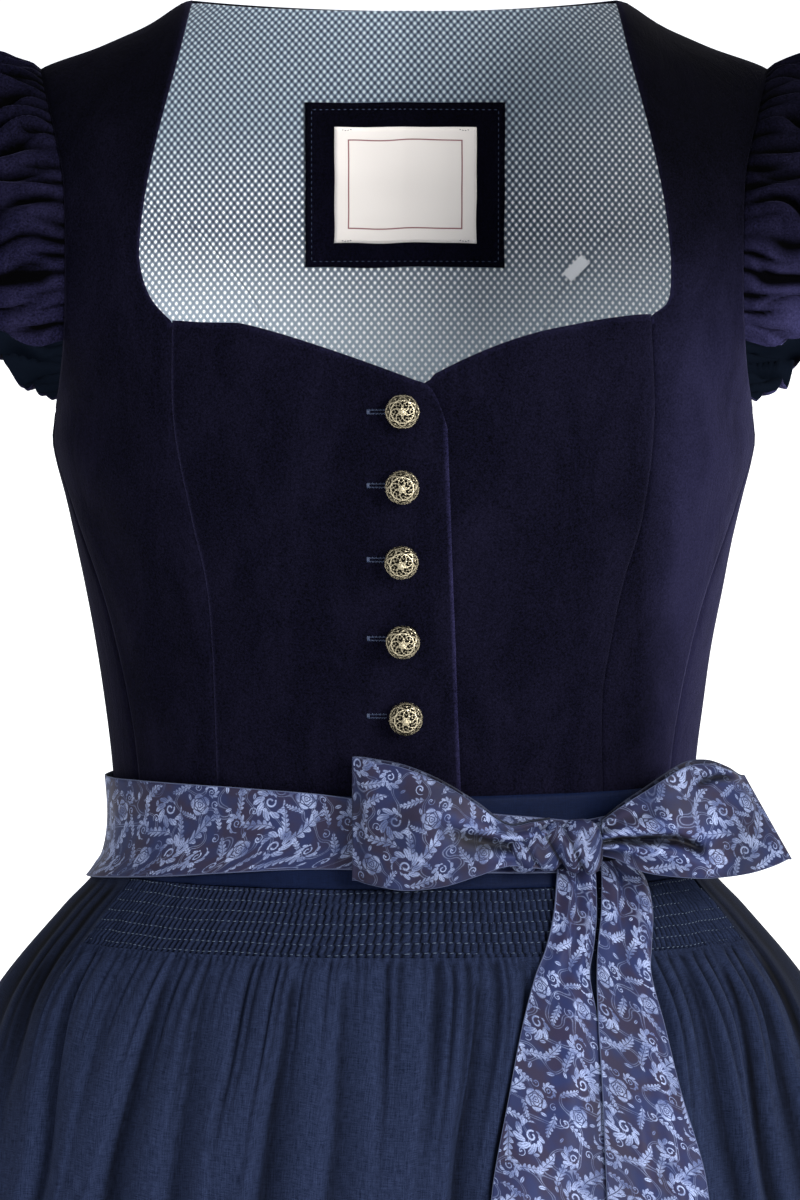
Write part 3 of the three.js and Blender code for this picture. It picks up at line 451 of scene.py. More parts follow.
def front_right(u, v):
    across = NECK_CORNER_X[-1] + (LAP_X - NECK_CORNER_X[-1]) * u
    rounded = np.clip((across - NECK_POINT[0]) / (LAP_X - NECK_POINT[0]), 0, 1) ** 2.2
    corner = NECK_POINT[1] + (LAP_CORNER_Z - NECK_POINT[1]) * rounded
    top = np.where(across > NECK_POINT[0], corner, neck_height(across))
    z = WAIST + (top - WAIST) * v
    seam = -seam_x(-1, z)
    edge = LAP_X + LAP_SPREAD * np.clip((LAP_CORNER_Z - z) / 176, 0, 1)
    x = seam + (edge - seam) * u
    out = FRONT_LAP * ease(-34, -12, x) + seam_roll(x - seam - 0.2) + seam_roll(edge - x) * 0.6
    out = out + seam_roll((top - z) * 0.9) * 0.7 + front_swell(x, z)
    # Painted highlight along the lapping edge, the top edge and the princess seam, where the pile catches the
    # light as it turns.
    rubbed_pile_and_edge_highlight = np.maximum(bell(edge, x, 1.1), 0.35 * bell(top, z, 1.2))
    rubbed_pile_and_edge_highlight = np.maximum(rubbed_pile_and_edge_highlight, 0.5 * bell(x, seam, 1.1))
    return skin(angle_at(x, z) - SEAM_GAP * (1 - u), z, out), -0.7 * rubbed_pile_and_edge_highlight


def front_left(u, v):
    across = UNDERLAP_X + (NECK_CORNER_X[1] - UNDERLAP_X) * u
    under = np.where(across < NECK_POINT[0], NECK_POINT[1] - 3, neck_height(across) - 1.5 * (across < 12))
    z = WAIST + (under - WAIST) * v
    seam = seam_x(1, z)
    x = UNDERLAP_X + (seam - UNDERLAP_X) * u
    out = seam_roll(seam - x - 0.2) + seam_roll((under - z) * 0.9) * 0.7 * (x > 24)
    out = out + front_swell(x, z) * ease(22, 50, x)
    # Painted highlight along the top edge.
    return skin(angle_at(x, z) + SEAM_GAP * u, z, out), -0.25 * bell(under, z, 1.2)


def front_side(side):
    def surface(u, v):
        low = v <= 0.56
        z_low = WAIST + (CORNER - WAIST) * np.minimum(v / 0.56, 1)
        inner = angle_at(seam_x(side, z_low), z_low)
        half = at(*SIDE_SEAM, z_low) * at(RING_Z, RING["half"], z_low)
        half = np.where(z_low > UNDERARM, at(*ARM_EDGE, z_low), half)
        outer = angle_at(half, z_low)
        t = np.clip((v - 0.56) / 0.44, 0, 1)
        rise = ease(0, 1, t)
        neck_z = CORNER * (1 - rise)
        arm_x = at(*ARM_EDGE, CORNER + (ridge(SHOULDER[1]) - CORNER) * rise)
        neck_x = at(NECK_EDGE_Z, NECK_EDGE[side], neck_z)
        x = neck_x + (arm_x - neck_x) * u
        z = np.where(low, z_low, CORNER + (ridge(x) - CORNER) * rise)
        angle = np.where(low, inner + (outer - inner) * u, angle_at(x, np.minimum(z, ridge(x))))
        angle = angle + np.where(low, SEAM_GAP * (2 * u - 1), 0)
        width = 55.0
        out = seam_roll(u * width) + seam_roll((1 - u) * width) * 0.35
        free = ease(1, 0.93, v) * ease(0, 0.25, np.minimum(u, 1 - u))
        out = out + 0.8 * wander(u * 1.2 + side, v * 8, 5 + side) * free
        # Painted highlight along the strap's neck edge, above the corner.
        return skin(side * angle, z, out), -0.4 * bell(u * width, 0, 1.2) * ~low

    return surface


for name, surface, across, up, flat, share in [
    ("front_centre_right", front_right, 54, 66, (132, 240), 0.9),
    ("front_centre_left", front_left, 52, 66, (128, 240), 0.9),
    ("front_side_right", front_side(-1), 30, 112, (92, 410), 0.62),
    ("front_side_left", front_side(1), 30, 112, (92, 410), 0.62),
]:
    flip = name.endswith("side_right")
    panel = cloth(name + "_velvet", across, up, surface, FRONT_WALL, velvet, lining, inside=1, turned=flip)
    sewn(panel, [name])

# Bodice back. Centre back and two side backs of the same velvet. Their princess seams run up from the waist and
# end in the armholes, and the upper edge meets the fronts along the shoulder seams.
BACK_TOP = -85.0
BACK_LOW = 0.78  # the share of v that lies below BACK_TOP
BACK_SEAM = ([-85, -90, -97, -106, -119, -145, -189, -263, -372], [156, 135, 117, 101, 90, 71, 60, 51, 44])
LINING_FACE, LINING_WALL = -2.8, 0.6


def back_point(share, v, out, trim=0.0):
    """A point of the whole back. share is 0 at its middle, 1 at a princess seam and 2 at the side or armhole."""
    side, across = np.where(share < 0, -1.0, 1.0), np.abs(share)
    low = v <= BACK_LOW
    z_low = WAIST + (BACK_TOP - WAIST) * np.minimum(v / BACK_LOW, 1)
    seam = angle_at(at(*BACK_SEAM, z_low), z_low)
    half = at(*SIDE_SEAM, z_low) * at(RING_Z, RING["half"], z_low)
    end = np.where(z_low > UNDERARM, angle_at(at(*ARM_EDGE, z_low), z_low), math.pi - angle_at(half, z_low))
    angle = np.where(across <= 1, seam * across, seam + (end - seam) * (across - 1))
    t = np.clip((v - BACK_LOW) / 0.22, 0, 1)
    rise = 1 - (1 - t) ** 2
    x = np.minimum(across, 1) * at(*ARM_EDGE, BACK_TOP + (ridge(SHOULDER[1]) - BACK_TOP) * rise)
    neck = (ridge(SHOULDER[0]) + 2.5) * (x / SHOULDER[0]) ** 2.6 - 2.5
    top = np.where(x < SHOULDER[0], neck, ridge(x))
    z_high = BACK_TOP + (top - BACK_TOP) * rise
    z = np.where(low, z_low, z_high)
    angle = np.where(low, angle + trim, angle_at(x, np.minimum(z_high, ridge(x))))
    return skin(side * (math.pi - angle), z, out)


def back_centre(u, v):
    share = 1 - 2 * u
    out = seam_roll((1 - np.abs(share)) * at(*BACK_SEAM, -300 + 180 * v)) * (v < BACK_LOW)
    return back_point(share, v, out + 0.4 * wander(share * 1.4, v * 5, 11), SEAM_GAP * np.abs(share))


def back_side(side):
    def surface(u, v):
        share = side * (2 - u)
        roll = seam_roll((1 - u) * 90) + 0.35 * seam_roll(u * 90)
        swell = 0.4 * wander(u * 1.6, v * 5, 12 + side)
        return back_point(share, BACK_LOW * v, roll + swell, SEAM_GAP * (1 - 2 * u))

    return surface


def lining_lay(grid):
    """Cloth lengths of the lining: how far round from the back's middle each point lies, and how high."""
    x, z = grid[..., 0], grid[..., 2]
    steps = np.linspace(0, 1, 31)[:, None, None]
    level = form(math.pi - angle_at(x, z) * steps, z[None])
    heights = WAIST + (z - WAIST) * steps
    upright = form(math.pi - angle_at(x[None], heights), heights)
    run = [np.linalg.norm(np.diff(path, axis=0), axis=-1).sum(0) for path in (level, upright)]
    return np.stack([np.sign(x) * run[0], run[1]], -1)


def lining_side_lay(grid):
    return lining_lay(grid) + np.array([1.3, 1.9])


def lining_centre(u, v):
    p = back_point(2 * u - 1, v, np.full_like(u, LINING_FACE))
    p[..., 2] += 1.1 * ease(0.93, 1, v)
    return p


def lining_side(side):
    def surface(u, v):
        share = side * (1 + 0.983 * (u if side > 0 else 1 - u))
        return back_point(share, BACK_LOW * v, np.full_like(u, LINING_FACE))

    return surface


for name, surface, across, up, flat, share in [
    ("back_centre", back_centre, 72, 84, (330, 372), 0.6),
    ("back_side_right", back_side(-1), 36, 62, (155, 290), 0.98),
    ("back_side_left", back_side(1), 36, 62, (155, 290), 0.98),
]:
    panel = cloth(name + "_velvet", across, up, surface, BACK_WALL, velvet, turned=name.endswith("_right"))
    sewn(panel, [name])

# Back lining. One layer of cotton jacquard behind the whole back, seamed like the velvet, so that its small
# pattern breaks a little at the princess seams. It carries the neck label and the size tab.
lining_parts = [
    cloth("back_lining_centre", 104, 84, lining_centre, LINING_WALL, lining, lay=lining_lay),
    cloth("back_lining_right", 40, 60, lining_side(-1), LINING_WALL, lining, lay=lining_side_lay),
    cloth("back_lining_left", 40, 60, lining_side(1), LINING_WALL, lining, lay=lining_side_lay),
]
sewn(lining_parts[0], ["back_lining"])
sewn(lining_parts[1], ["back_lining"])
sewn(lining_parts[2], ["back_lining"])

# Neck label. A velvet patch is stitched round close to its edge, and a cream woven label with a thin frame line
# and no words is tacked on it at its corners. The small folded size tab beside it is bare.
PATCH = (-48.0, 49.0, -125.0, -45.0)  # left, right, bottom, top
LABEL = (-34.0, 35.5, -113.0, -56.5)
LABEL_FRAME = (27.3, 21.8, 29.0)  # half its width, half its height and its middle height
TAB = (84.0, -125.0, 13.0, 6.0)  # x, z, length and width, turned by an eighth
PATCH_FACE, LABEL_FACE, TAB_FACE = -4.4, -5.2, -4.3
STITCH_INSET = 3


def on_back(x, z, out):
    return skin(math.pi - angle_at(x, z), z, np.broadcast_to(out, np.shape(x)).astype(float))


def lying(box, face, crown):
    def surface(u, v):
        x, z = box[0] + (box[1] - box[0]) * u, box[2] + (box[3] - box[2]) * v
        x, z = x + 0.35 * wander(u * 2, v * 2, 31) * (1 - v), z + 0.35 * wander(u * 2, v * 2, 32)
        edge = np.minimum(u, 1 - u) * (box[1] - box[0])
        edge = np.minimum(edge, np.minimum(v, 1 - v) * (box[3] - box[2]))
        return on_back(x, z, face + crown * (1 - ease(0, 3.5, edge)) + 0.25 * wander(u * 2, v * 2, 33))

    return surface


def size_tab(u, v):
    along, across = (v - 0.5) * TAB[2], (u - 0.5) * TAB[3]
    x = TAB[0] + (along - across) * math.sqrt(0.5)
    z = TAB[1] + (along + across) * math.sqrt(0.5)
    return on_back(x, z, TAB_FACE + 0.3 * np.cos(v * 3))


def stitches(name, starts, ends, thick, material, slot):
    """Separate stitches of thread, one from each start to its end, in millimetres."""
    shape = bmesh.new()
    for start, end in zip(starts, ends):
        start, end = Vector(start) * 0.001, Vector(end) * 0.001
        way = end - start
        place = Matrix.Translation((start + end) / 2) @ way.to_track_quat("X", "Z").to_matrix().to_4x4()
        size = Matrix.Diagonal((way.length / 2, thick * 0.0005, thick * 0.0005, 1))
        bmesh.ops.create_icosphere(shape, subdivisions=1, radius=1, matrix=place @ size)
    mesh = mesh_of(shape, name)
    mesh.shade_smooth()
    made = new_piece(name, mesh, material)
    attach(made, "root")
    return made


def dashes(corners, pitch, share):
    """Starts and ends of a dashed line through corners, as points (x, z)."""
    starts, ends = [], []
    for a, b in zip(corners, corners[1:]):
        a, b = np.asarray(a, float), np.asarray(b, float)
        count = max(1, round(np.linalg.norm(b - a) / pitch))
        for k in range(count):
            starts.append(a + (b - a) * (k + 0.5 - share / 2) / count)
            ends.append(a + (b - a) * (k + 0.5 + share / 2) / count)
    return np.array(starts), np.array(ends)


woven, woven_tree, woven_shader = finish("woven_label", (0.97, 0.9, 0.84), 0.6, Sheen_Weight=0.1)
label_u, label_v, _ = put(woven_tree, "SeparateXYZ", cloth_lengths(woven_tree)).outputs
beside = reckon(woven_tree, "SUBTRACT", reckon(woven_tree, "ABSOLUTE", label_u), LABEL_FRAME[0])
above = reckon(woven_tree, "ABSOLUTE", reckon(woven_tree, "SUBTRACT", label_v, LABEL_FRAME[2]))
above = reckon(woven_tree, "SUBTRACT", above, LABEL_FRAME[1])
off_line = reckon(woven_tree, "ABSOLUTE", reckon(woven_tree, "MAXIMUM", beside, above))
frame_line = ramp(woven_tree, off_line, 0.2, 0.42, 1.0, 0.0)
cream = mix(woven_tree, frame_line, (0.97, 0.9, 0.84, 1), (0.27, 0.075, 0.08, 1))
on_label = put(woven_tree, "TexCoord").outputs["Object"]
threads = put(woven_tree, "TexWave", on_label, Scale=900.0, Distortion=1.0).outputs["Fac"]
feed(woven_tree, woven_shader, Base_Color=cream, Normal=bumped(woven_tree, threads, 0.2, 0.0001))
plain_tape, _, _ = finish("size_tape", (0.95, 0.96, 0.98), 0.6)
blue_thread, _, _ = finish("blue_thread", (0.024, 0.038, 0.085), 0.5)
dark_thread, _, _ = finish("dark_thread", (0.02, 0.022, 0.05), 0.6)

patch = cloth("label_patch_velvet", 36, 30, lying(PATCH, PATCH_FACE, 0.6), 1.0, velvet)
label = cloth("neck_label_woven", 36, 30, lying(LABEL, LABEL_FACE, 0.3), 0.4, woven)
tab = cloth("size_tab_tape", 12, 24, size_tab, 0.5, plain_tape)
left, right, foot, head = (edge + way * STITCH_INSET for edge, way in zip(PATCH, (1, -1, 1, -1)))
starts, ends = dashes([(left, foot), (right, foot), (right, head), (left, head), (left, foot)], 2.9, 0.62)
ends_on_patch = [on_back(*points.T, PATCH_FACE - 0.15) for points in (starts, ends)]
patch_seam = stitches("label_patch_stitching", *ends_on_patch, 0.45, blue_thread, "velvet")
tacks = []
for x, way in ((LABEL[0] + 4.5, 1), (LABEL[1] - 4.5, -1)):
    for z in (LABEL[2] + 1.2, LABEL[3] - 1.2):
        for k in range(4):
            tacks.append(((x + 1.3 * k * way, z), (x + (1.3 * k - 0.9) * way, z + 0.5 * math.sin(5 * k))))
ends_on_label = [on_back(*points.T, LABEL_FACE - 0.1) for points in np.array(tacks).swapaxes(0, 1)]
label_tacks = stitches("neck_label_tacks", *ends_on_label, 0.35, dark_thread, "label")
sewn(patch, ["label_patch"])
sewn(label, ["neck_label"])
sewn(tab, ["size_tab"])

# Sleeves. Each is one velvet flounce, gathered into the armhole from its front foot over the shoulder to its back
# foot. The gathers are small and close at the seam and run out into fewer, softer swells. The front end hangs as a
# rounded flap, and the back end comes out lower behind it.
FRONT_FOOT, BACK_FOOT, FLOUNCE_WIDTH, FLOUNCE_WALL = 2.18, 2.83, 85.0, 1.3
ARMHOLE_MIDDLE, ARMHOLE_HALF = -109.5, 79.5
FINE_GATHER, BROAD_GATHER = 8.2, 14.5


def puff(waves):
    """Round swells with narrow valleys between them, from -1 to 1, one for each half turn."""
    return 2 * np.abs(np.sin(waves)) ** 0.8 - 1


def flounce(side):
    def surface(u, v):
        turn = (FRONT_FOOT + BACK_FOOT) * u - FRONT_FOOT
        z = ARMHOLE_MIDDLE + ARMHOLE_HALF * np.cos(turn)
        angle = angle_at(at(*ARM_EDGE, z), z)
        p = form(np.where(turn < 0, angle, math.pi - angle), z)
        radial = np.stack([np.zeros_like(z), p[..., 1], p[..., 2] - ARMHOLE_MIDDLE], -1)
        radial /= np.linalg.norm(radial, axis=-1, keepdims=True)
        toward = np.clip(np.abs(turn) / np.where(turn < 0, FRONT_FOOT, BACK_FOOT + 0.06), 0, 1)
        narrow = np.where(turn < 0, 0.62 * toward**2.4, toward**2.6)
        rounded = np.sqrt(np.maximum(1 - np.where(turn < 0, toward, 0) ** 14, 0))
        along = v * FLOUNCE_WIDTH * (1 - narrow) * rounded
        arc = ARMHOLE_HALF * turn
        near, far = 1 - ease(6, 36, along), ease(2, 22, along)
        bend = wander(arc / 34, along / 50, 40 + side)
        fine = puff((arc + 2.6 * bend) * math.pi / FINE_GATHER)
        broad = puff((arc + 5 * bend + 0.15 * along) * math.pi / BROAD_GATHER + 1)
        uneven = np.clip(0.8 + 0.5 * wander(arc / 30, along / 50, 43 + side), 0.3, 1.3)
        lift = 6 * (0.6 + 0.4 * np.cos(turn)) * (1 - np.exp(-along / 9)) - 0.0016 * along**2
        wave = 2.2 * fine * near * ease(0, 5, along) * uneven + 5.2 * (broad - 0.25) * uneven * far
        wave = wave + 1.0 * wander(arc / 20, along / 26, 46 + side) * far
        flap = bell(turn + FRONT_FOOT, 0, 0.3)
        wave = wave * (1 - 0.6 * flap) + 5 * flap * ease(0, 14, along)
        p[..., 0] += along - 0.8
        p[..., 2] -= 0.0012 * along**2
        p = p + radial * (lift + wave - 0.5)[..., None]
        p[..., 0] *= side
        # Painted shade in the valleys of the gathers and swells, along the line above the front flap and a little
        # everywhere. The flap itself gets less painted shade.
        painted_shade = (0.9 - 0.5 * (fine + 1)) * near * uneven + 1.5 * far * (0.62 - 0.5 * (broad + 1)) * uneven
        over_flap = bell(turn + FRONT_FOOT, 0.4, 0.035) * ease(4, 12, along)
        return p, np.maximum(1.4 * painted_shade + 0.25 * bend + 0.15 + 0.9 * over_flap - 0.5 * flap, 0)

    return surface


# A copy of the velvet painted lighter for the sleeves: lift 2.9 against 1.0 on the rest, as painted light.
sleeve_velvet_painted_lighter = velvet_finish("sleeve_velvet_painted_lighter", 2.9)
sleeve_inside, _, _ = finish("sleeve_inside", (0.002, 0.004, 0.009), 0.9, Specular_IOR_Level=0.05)
for name, side in (("sleeve_right", -1), ("sleeve_left", 1)):
    faces = (sleeve_velvet_painted_lighter, sleeve_inside)
    sleeve = cloth(name + "_flounce", 340, 44, flounce(side), FLOUNCE_WALL, *faces, inside=1, turned=side > 0)
    sewn(sleeve, [name])

# Buttons. Five filigree ball buttons of old silver gilt metal on short shanks, worked in six parts round a star,
# and for each a buttonhole in the lapping front, stitched round with blue thread.
BUTTONS = [(-0.8, -184.5), (-0.9, -217.5), (-1.2, -251.0), (-0.6, -287.8), (0.8, -323.5)]
HOLE_X = -15.6  # the far end of each buttonhole
DOME, DOME_FROM, DOME_RISE = 7.8, 5.4, 6.3
FOOT = [(0, 0), (2.2, 0), (2.2, 1.7), (4.4, 1.9), (5.9, 2.5), (7.1, 3.5), (7.7, 4.6)]

gilt, gilt_tree, gilt_shader = finish("old_silver_gilt", (0.45, 0.4, 0.3), 0.34, Metallic=0.95)
worn = ramp(gilt_tree, known(gilt_tree, "raised"), 0.3, 0.95)
patina = mix(gilt_tree, worn, (0.003, 0.0025, 0.002, 1), (0.66, 0.58, 0.4, 1))
feed(gilt_tree, gilt_shader, Base_Color=patina)

for index, (x, z) in enumerate(BUTTONS):
    shape = bmesh.new()
    quarter = np.linspace(0, math.pi / 2, 30)
    profile = FOOT + [(DOME * math.cos(a), DOME_FROM + DOME_RISE * math.sin(a)) for a in quarter]
    points = [shape.verts.new((r, 0, h)) for r, h in profile]
    edges = [shape.edges.new(pair) for pair in zip(points, points[1:])]
    round_once = {"axis": (0, 0, 1), "cent": (0, 0, 0), "angle": 2 * math.pi, "steps": 120}
    bmesh.ops.spin(shape, geom=points + edges, use_merge=True, **round_once)
    bmesh.ops.remove_doubles(shape, verts=shape.verts, dist=0.01)
    bmesh.ops.recalc_face_normals(shape, faces=shape.faces)
    raised = shape.verts.layers.float.new("raised")
    for vert in shape.verts:
        r, turn = math.hypot(vert.co.x, vert.co.y), math.atan2(vert.co.y, vert.co.x) + 0.4 * index
        polar = math.atan2(r / DOME, (vert.co.z - DOME_FROM) / DOME_RISE)
        wires = [math.sin(3 * turn + 4.2 * polar), math.sin(3 * turn - 4.2 * polar), math.sin(5.6 * polar - 1.1)]
        wires += [math.sin(9 * turn) if polar > 0.7 else 1, math.sin(11 * polar + 1.4 * math.cos(6 * turn))]
        line = max(math.exp(-((w / (0.15 + 0.035 * k)) ** 2)) for k, w in enumerate(wires))
        line = max(line, math.exp(-((polar / 0.16) ** 2)))
        vert[raised] = 0 if vert.co.z < DOME_FROM - 2 else line
        if vert.co.z > DOME_FROM - 2:
            vert.co += vert.co.normalized() * (0.75 * line - 0.7)
    middle = skin(angle_at(x, z), z, FRONT_LAP + 0.4)
    facing = Vector(middle - skin(angle_at(x, z), z, FRONT_LAP - 0.6))
    turned = facing.to_track_quat("Z", "Y").to_matrix().to_4x4()
    place = Matrix.Translation(Vector(middle) * 0.001) @ turned @ Matrix.Scale(0.001, 4)
    bmesh.ops.transform(shape, matrix=place, verts=shape.verts)
    mesh = mesh_of(shape, f"button_{index + 1}_filigree")
    mesh.shade_smooth()
    button = new_piece(mesh.name, mesh, gilt)
    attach(button, "root")
    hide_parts(f"button_{index + 1}")

starts, ends = [], []
for _, z in BUTTONS:
    for k in range(13):
        x = HOLE_X + 0.62 * k
        starts += [(x, z + 0.3), (x + 0.1, z - 0.3)]
        ends += [(x + 0.05, z + 1.3 + 0.2 * math.sin(4 * k)), (x, z - 1.3 - 0.2 * math.sin(3 * k))]
    for k in range(4):
        starts.append((HOLE_X - 0.1 - 0.3 * k, z - 1.5))
        ends.append((HOLE_X - 0.2 - 0.3 * k, z + 1.5))
starts, ends = np.array(starts), np.array(ends)


def on_front(x, z, out):
    lap = FRONT_LAP * ease(-34, -12, x) + front_swell(x, z)
    return skin(angle_at(x, z), z, lap + out)


stitches("buttonholes", on_front(*starts.T, 0.2), on_front(*ends.T, 0.2), 0.5, blue_thread, "velvet")

# Skirt. A front and a back width of dark blue linen, gathered into the waist seam and joined at the sides.
SKIRT_HEM, APRON_HEM = -1020.0, -985.0
FOLD_Z = [-372, -404, -433, -468, -533, -760, -1020]
SKIRT_DEPTH, APRON_DEPTH = [1, 2, 4, 8, 12, 22, 34], [0.6, 0.8, 1.6, 6, 10, 16, 24]
SKIRT_FOLDS = 34


def linen_finish(name, dark, light, roughness, sheen):
    """Linen or sateen: fine threads both ways, of which some are a little thicker or paler along their run.
    Painted shade darkens it in folds and takes away its sheen there."""
    words = {"Sheen_Roughness": 0.4, "Sheen_Tint": (0.5, 0.6, 0.9, 1), "Specular_IOR_Level": 0.05}
    made, tree, shader = finish(name, light, roughness, **words)
    lengths = cloth_lengths(tree)
    along = put(tree, "Mapping", lengths, Scale=(1.8, 0.13, 1)).outputs[0]
    across = put(tree, "Mapping", lengths, Scale=(0.18, 2.0, 1)).outputs[0]
    warp = noise(tree, along, Scale=1.0, Detail=3.0, Roughness=0.6)
    weft = noise(tree, across, Scale=1.0, Detail=3.0, Roughness=0.6)
    grain = noise(tree, lengths, Scale=2.0, Detail=3.0, Roughness=0.75)
    both = reckon(tree, "ADD", reckon(tree, "ADD", warp, weft), grain)
    shade = ramp(tree, both, 1.2, 1.8)
    colour = mix(tree, shade, (*dark, 1), (*light, 1))
    # Painted shade read from the cloth's attribute: darker, with less sheen, deep in folds.
    painted_shade = known(tree, "painted_shade")
    lit = ramp(tree, painted_shade, 0.0, 1.0, 1.0, 0.06)
    colour = mix(tree, lit, (0, 0, 0, 1), colour)
    gloss = reckon(tree, "MULTIPLY", lit, sheen)
    feed(tree, shader, Base_Color=colour, Sheen_Weight=gloss, Normal=bumped(tree, both, 0.3, 0.0003))
    return made


linen = linen_finish("blue_linen", (0.0044, 0.0073, 0.0205), (0.0225, 0.0325, 0.075), 0.85, 0.05)
steps = np.arange(SKIRT_FOLDS + 1)
fold_sway = np.where((steps == 0) | (steps == SKIRT_FOLDS), 0, 0.025 * np.sin(5 * steps))
fold_deep = np.where(steps % 2 == 1, 0.8 + 0.2 * np.sin(3 * steps), 0)


def skirt_width(middle):
    def surface(u, v):
        z = WAIST - 0.3 + (SKIRT_HEM - WAIST + 0.3) * (1 - v) ** 1.5
        place = np.clip(u * SKIRT_FOLDS, 0, SKIRT_FOLDS - 1e-9)
        k = np.floor(place).astype(int)
        part = ease(0, 1, place - k)
        deep = fold_deep[k] + (fold_deep[k + 1] - fold_deep[k]) * part
        sway = fold_sway[k] + (fold_sway[k + 1] - fold_sway[k]) * (place - k)
        depth = at(FOLD_Z, SKIRT_DEPTH, z)
        joined = ease(0, 0.014, np.minimum(u, 1 - u))
        small = 0.9 * np.cos(u * 150 * math.pi + 2 * wander(u * 9, z / 300, 51)) * (1 - ease(-385, -520, z))
        soft = 0.12 * depth * wander(u * 16, z / 260, 52 + int(middle))
        inward = np.minimum(depth * deep - joined * (soft + small), depth * 1.05)
        p = form(middle + (u - 0.5) * math.pi + sway, z, -np.maximum(inward, 0))
        at_side = np.minimum(u, 1 - u) < 1e-6
        p[..., 1] = np.where(at_side, -0.03 if middle == 0 else 0.03, p[..., 1])
        # Painted shade in the deeper folds and in the small gathers at the top.
        return p, 0.35 * (deep - 0.35) + 0.2 * small

    return surface


for name, middle in (("skirt_front", 0), ("skirt_back", math.pi)):
    width = cloth(name + "_linen", SKIRT_FOLDS * 8, 60, skirt_width(middle), 1.0, linen)
    sewn(width, [name])

# Apron. The same linen. Its top is smocked in small pairs of ribs held by seven rows of pale stitches, sewn to a
# sateen waistband. Below and beside the smocking the cloth runs free in uneven gathers and long folds.
APRON_REACH, SMOCK_FROM, SMOCK_TO = 1.47, -1.03, 1.16
BAND_TOP, BAND_FOOT, SMOCK_TOP, SMOCK_FOOT = -361.0, -403.4, -403.8, -433.0
APRON_OUT, LAYER_GAP, BAND_WALL = 2.3, 0.9, 1.5
RIBS, GATHER_PITCH = 110, 5.6
STITCH_Z = (-404.9, -409.3, -413.7, -418.1, -422.5, -426.9, -431.3)
# Each main fold: its share of the half width at the smocking and 100 mm below, and how deep it is
APRON_FOLDS = [
    (-0.985, -0.93, 0.6), (-0.93, -0.83, 0.55), (-0.824, -0.73, 0.7), (-0.7, -0.66, 0.45),
    (-0.581, -0.592, 1.0), (-0.467, -0.451, 0.7), (-0.359, -0.36, 0.4), (-0.251, -0.274, 1.0),
    (-0.127, -0.132, 0.75), (-0.035, -0.045, 0.5), (0.06, 0.02, 0.6), (0.161, 0.086, 0.95),
    (0.282, 0.165, 0.75), (0.39, 0.29, 0.6), (0.5, 0.42, 0.8), (0.61, 0.55, 0.6), (0.71, 0.66, 0.85),
    (0.82, 0.735, 1.0), (0.885, 0.82, 0.8), (0.94, 0.885, 0.6), (0.985, 0.94, 0.6),
]  # fmt: skip


def lap_bulge(x, z):
    return 3.2 * ease(-44, -16, x) * (1 - ease(28, 54, x)) * ease(-390, -376, z)


def waistband(u, v):
    angle, z = APRON_REACH * (2 * u - 1), BAND_FOOT + (BAND_TOP - BAND_FOOT) * v
    x = form(angle, z)[..., 0]
    soft = 0.5 * wander(u * 12, v * 0.7, 61) - 0.4 * (1 - ease(0, 2.5, (BAND_TOP - z)))
    return form(angle, z, LAYER_GAP + BAND_WALL + lap_bulge(x, z) + soft)


def sway(u):
    """How far the rows of stitches wander up and down."""
    return 0.45 * np.sin(11 * u + 1.2) + 0.35 * np.sin(29 * u)


def rib_place(u, z):
    """Where along the smocking a rib stands, in ribs, and its row. Ribs lean aside between rows of stitches."""
    row = (STITCH_Z[0] + sway(u) - z) / (STITCH_Z[0] - STITCH_Z[1])
    return u * RIBS - 0.32 * (row % 1 - 0.5), row


def smocking(u, v):
    z = SMOCK_FOOT + (SMOCK_TOP - SMOCK_FOOT) * v
    along, row = rib_place(u, z)
    angle = SMOCK_FROM + (SMOCK_TO - SMOCK_FROM) * along / RIBS
    rib = (0.5 + 0.5 * np.cos(2 * math.pi * u * RIBS)) ** 0.8
    between = np.abs(np.sin(math.pi * row)) ** 0.7
    swell = 0.6 * wander(u * 16, v * 1.3, 62)
    uneven = 0.85 + 0.25 * wander(u * 30, v * 3, 63)
    # Painted shade between the ribs, at the rows of stitches and a little everywhere.
    painted_shade = 1.3 * (1 - rib) ** 2.2 * (0.35 + 0.65 * between) * uneven + 0.14 * (1 - between) + 0.06
    return form(angle, z, APRON_OUT - 0.4 + 1.9 * rib * (0.7 + 0.3 * between) * uneven + swell), painted_shade


tops, lows, deeps = (np.array(column) for column in zip(*APRON_FOLDS))


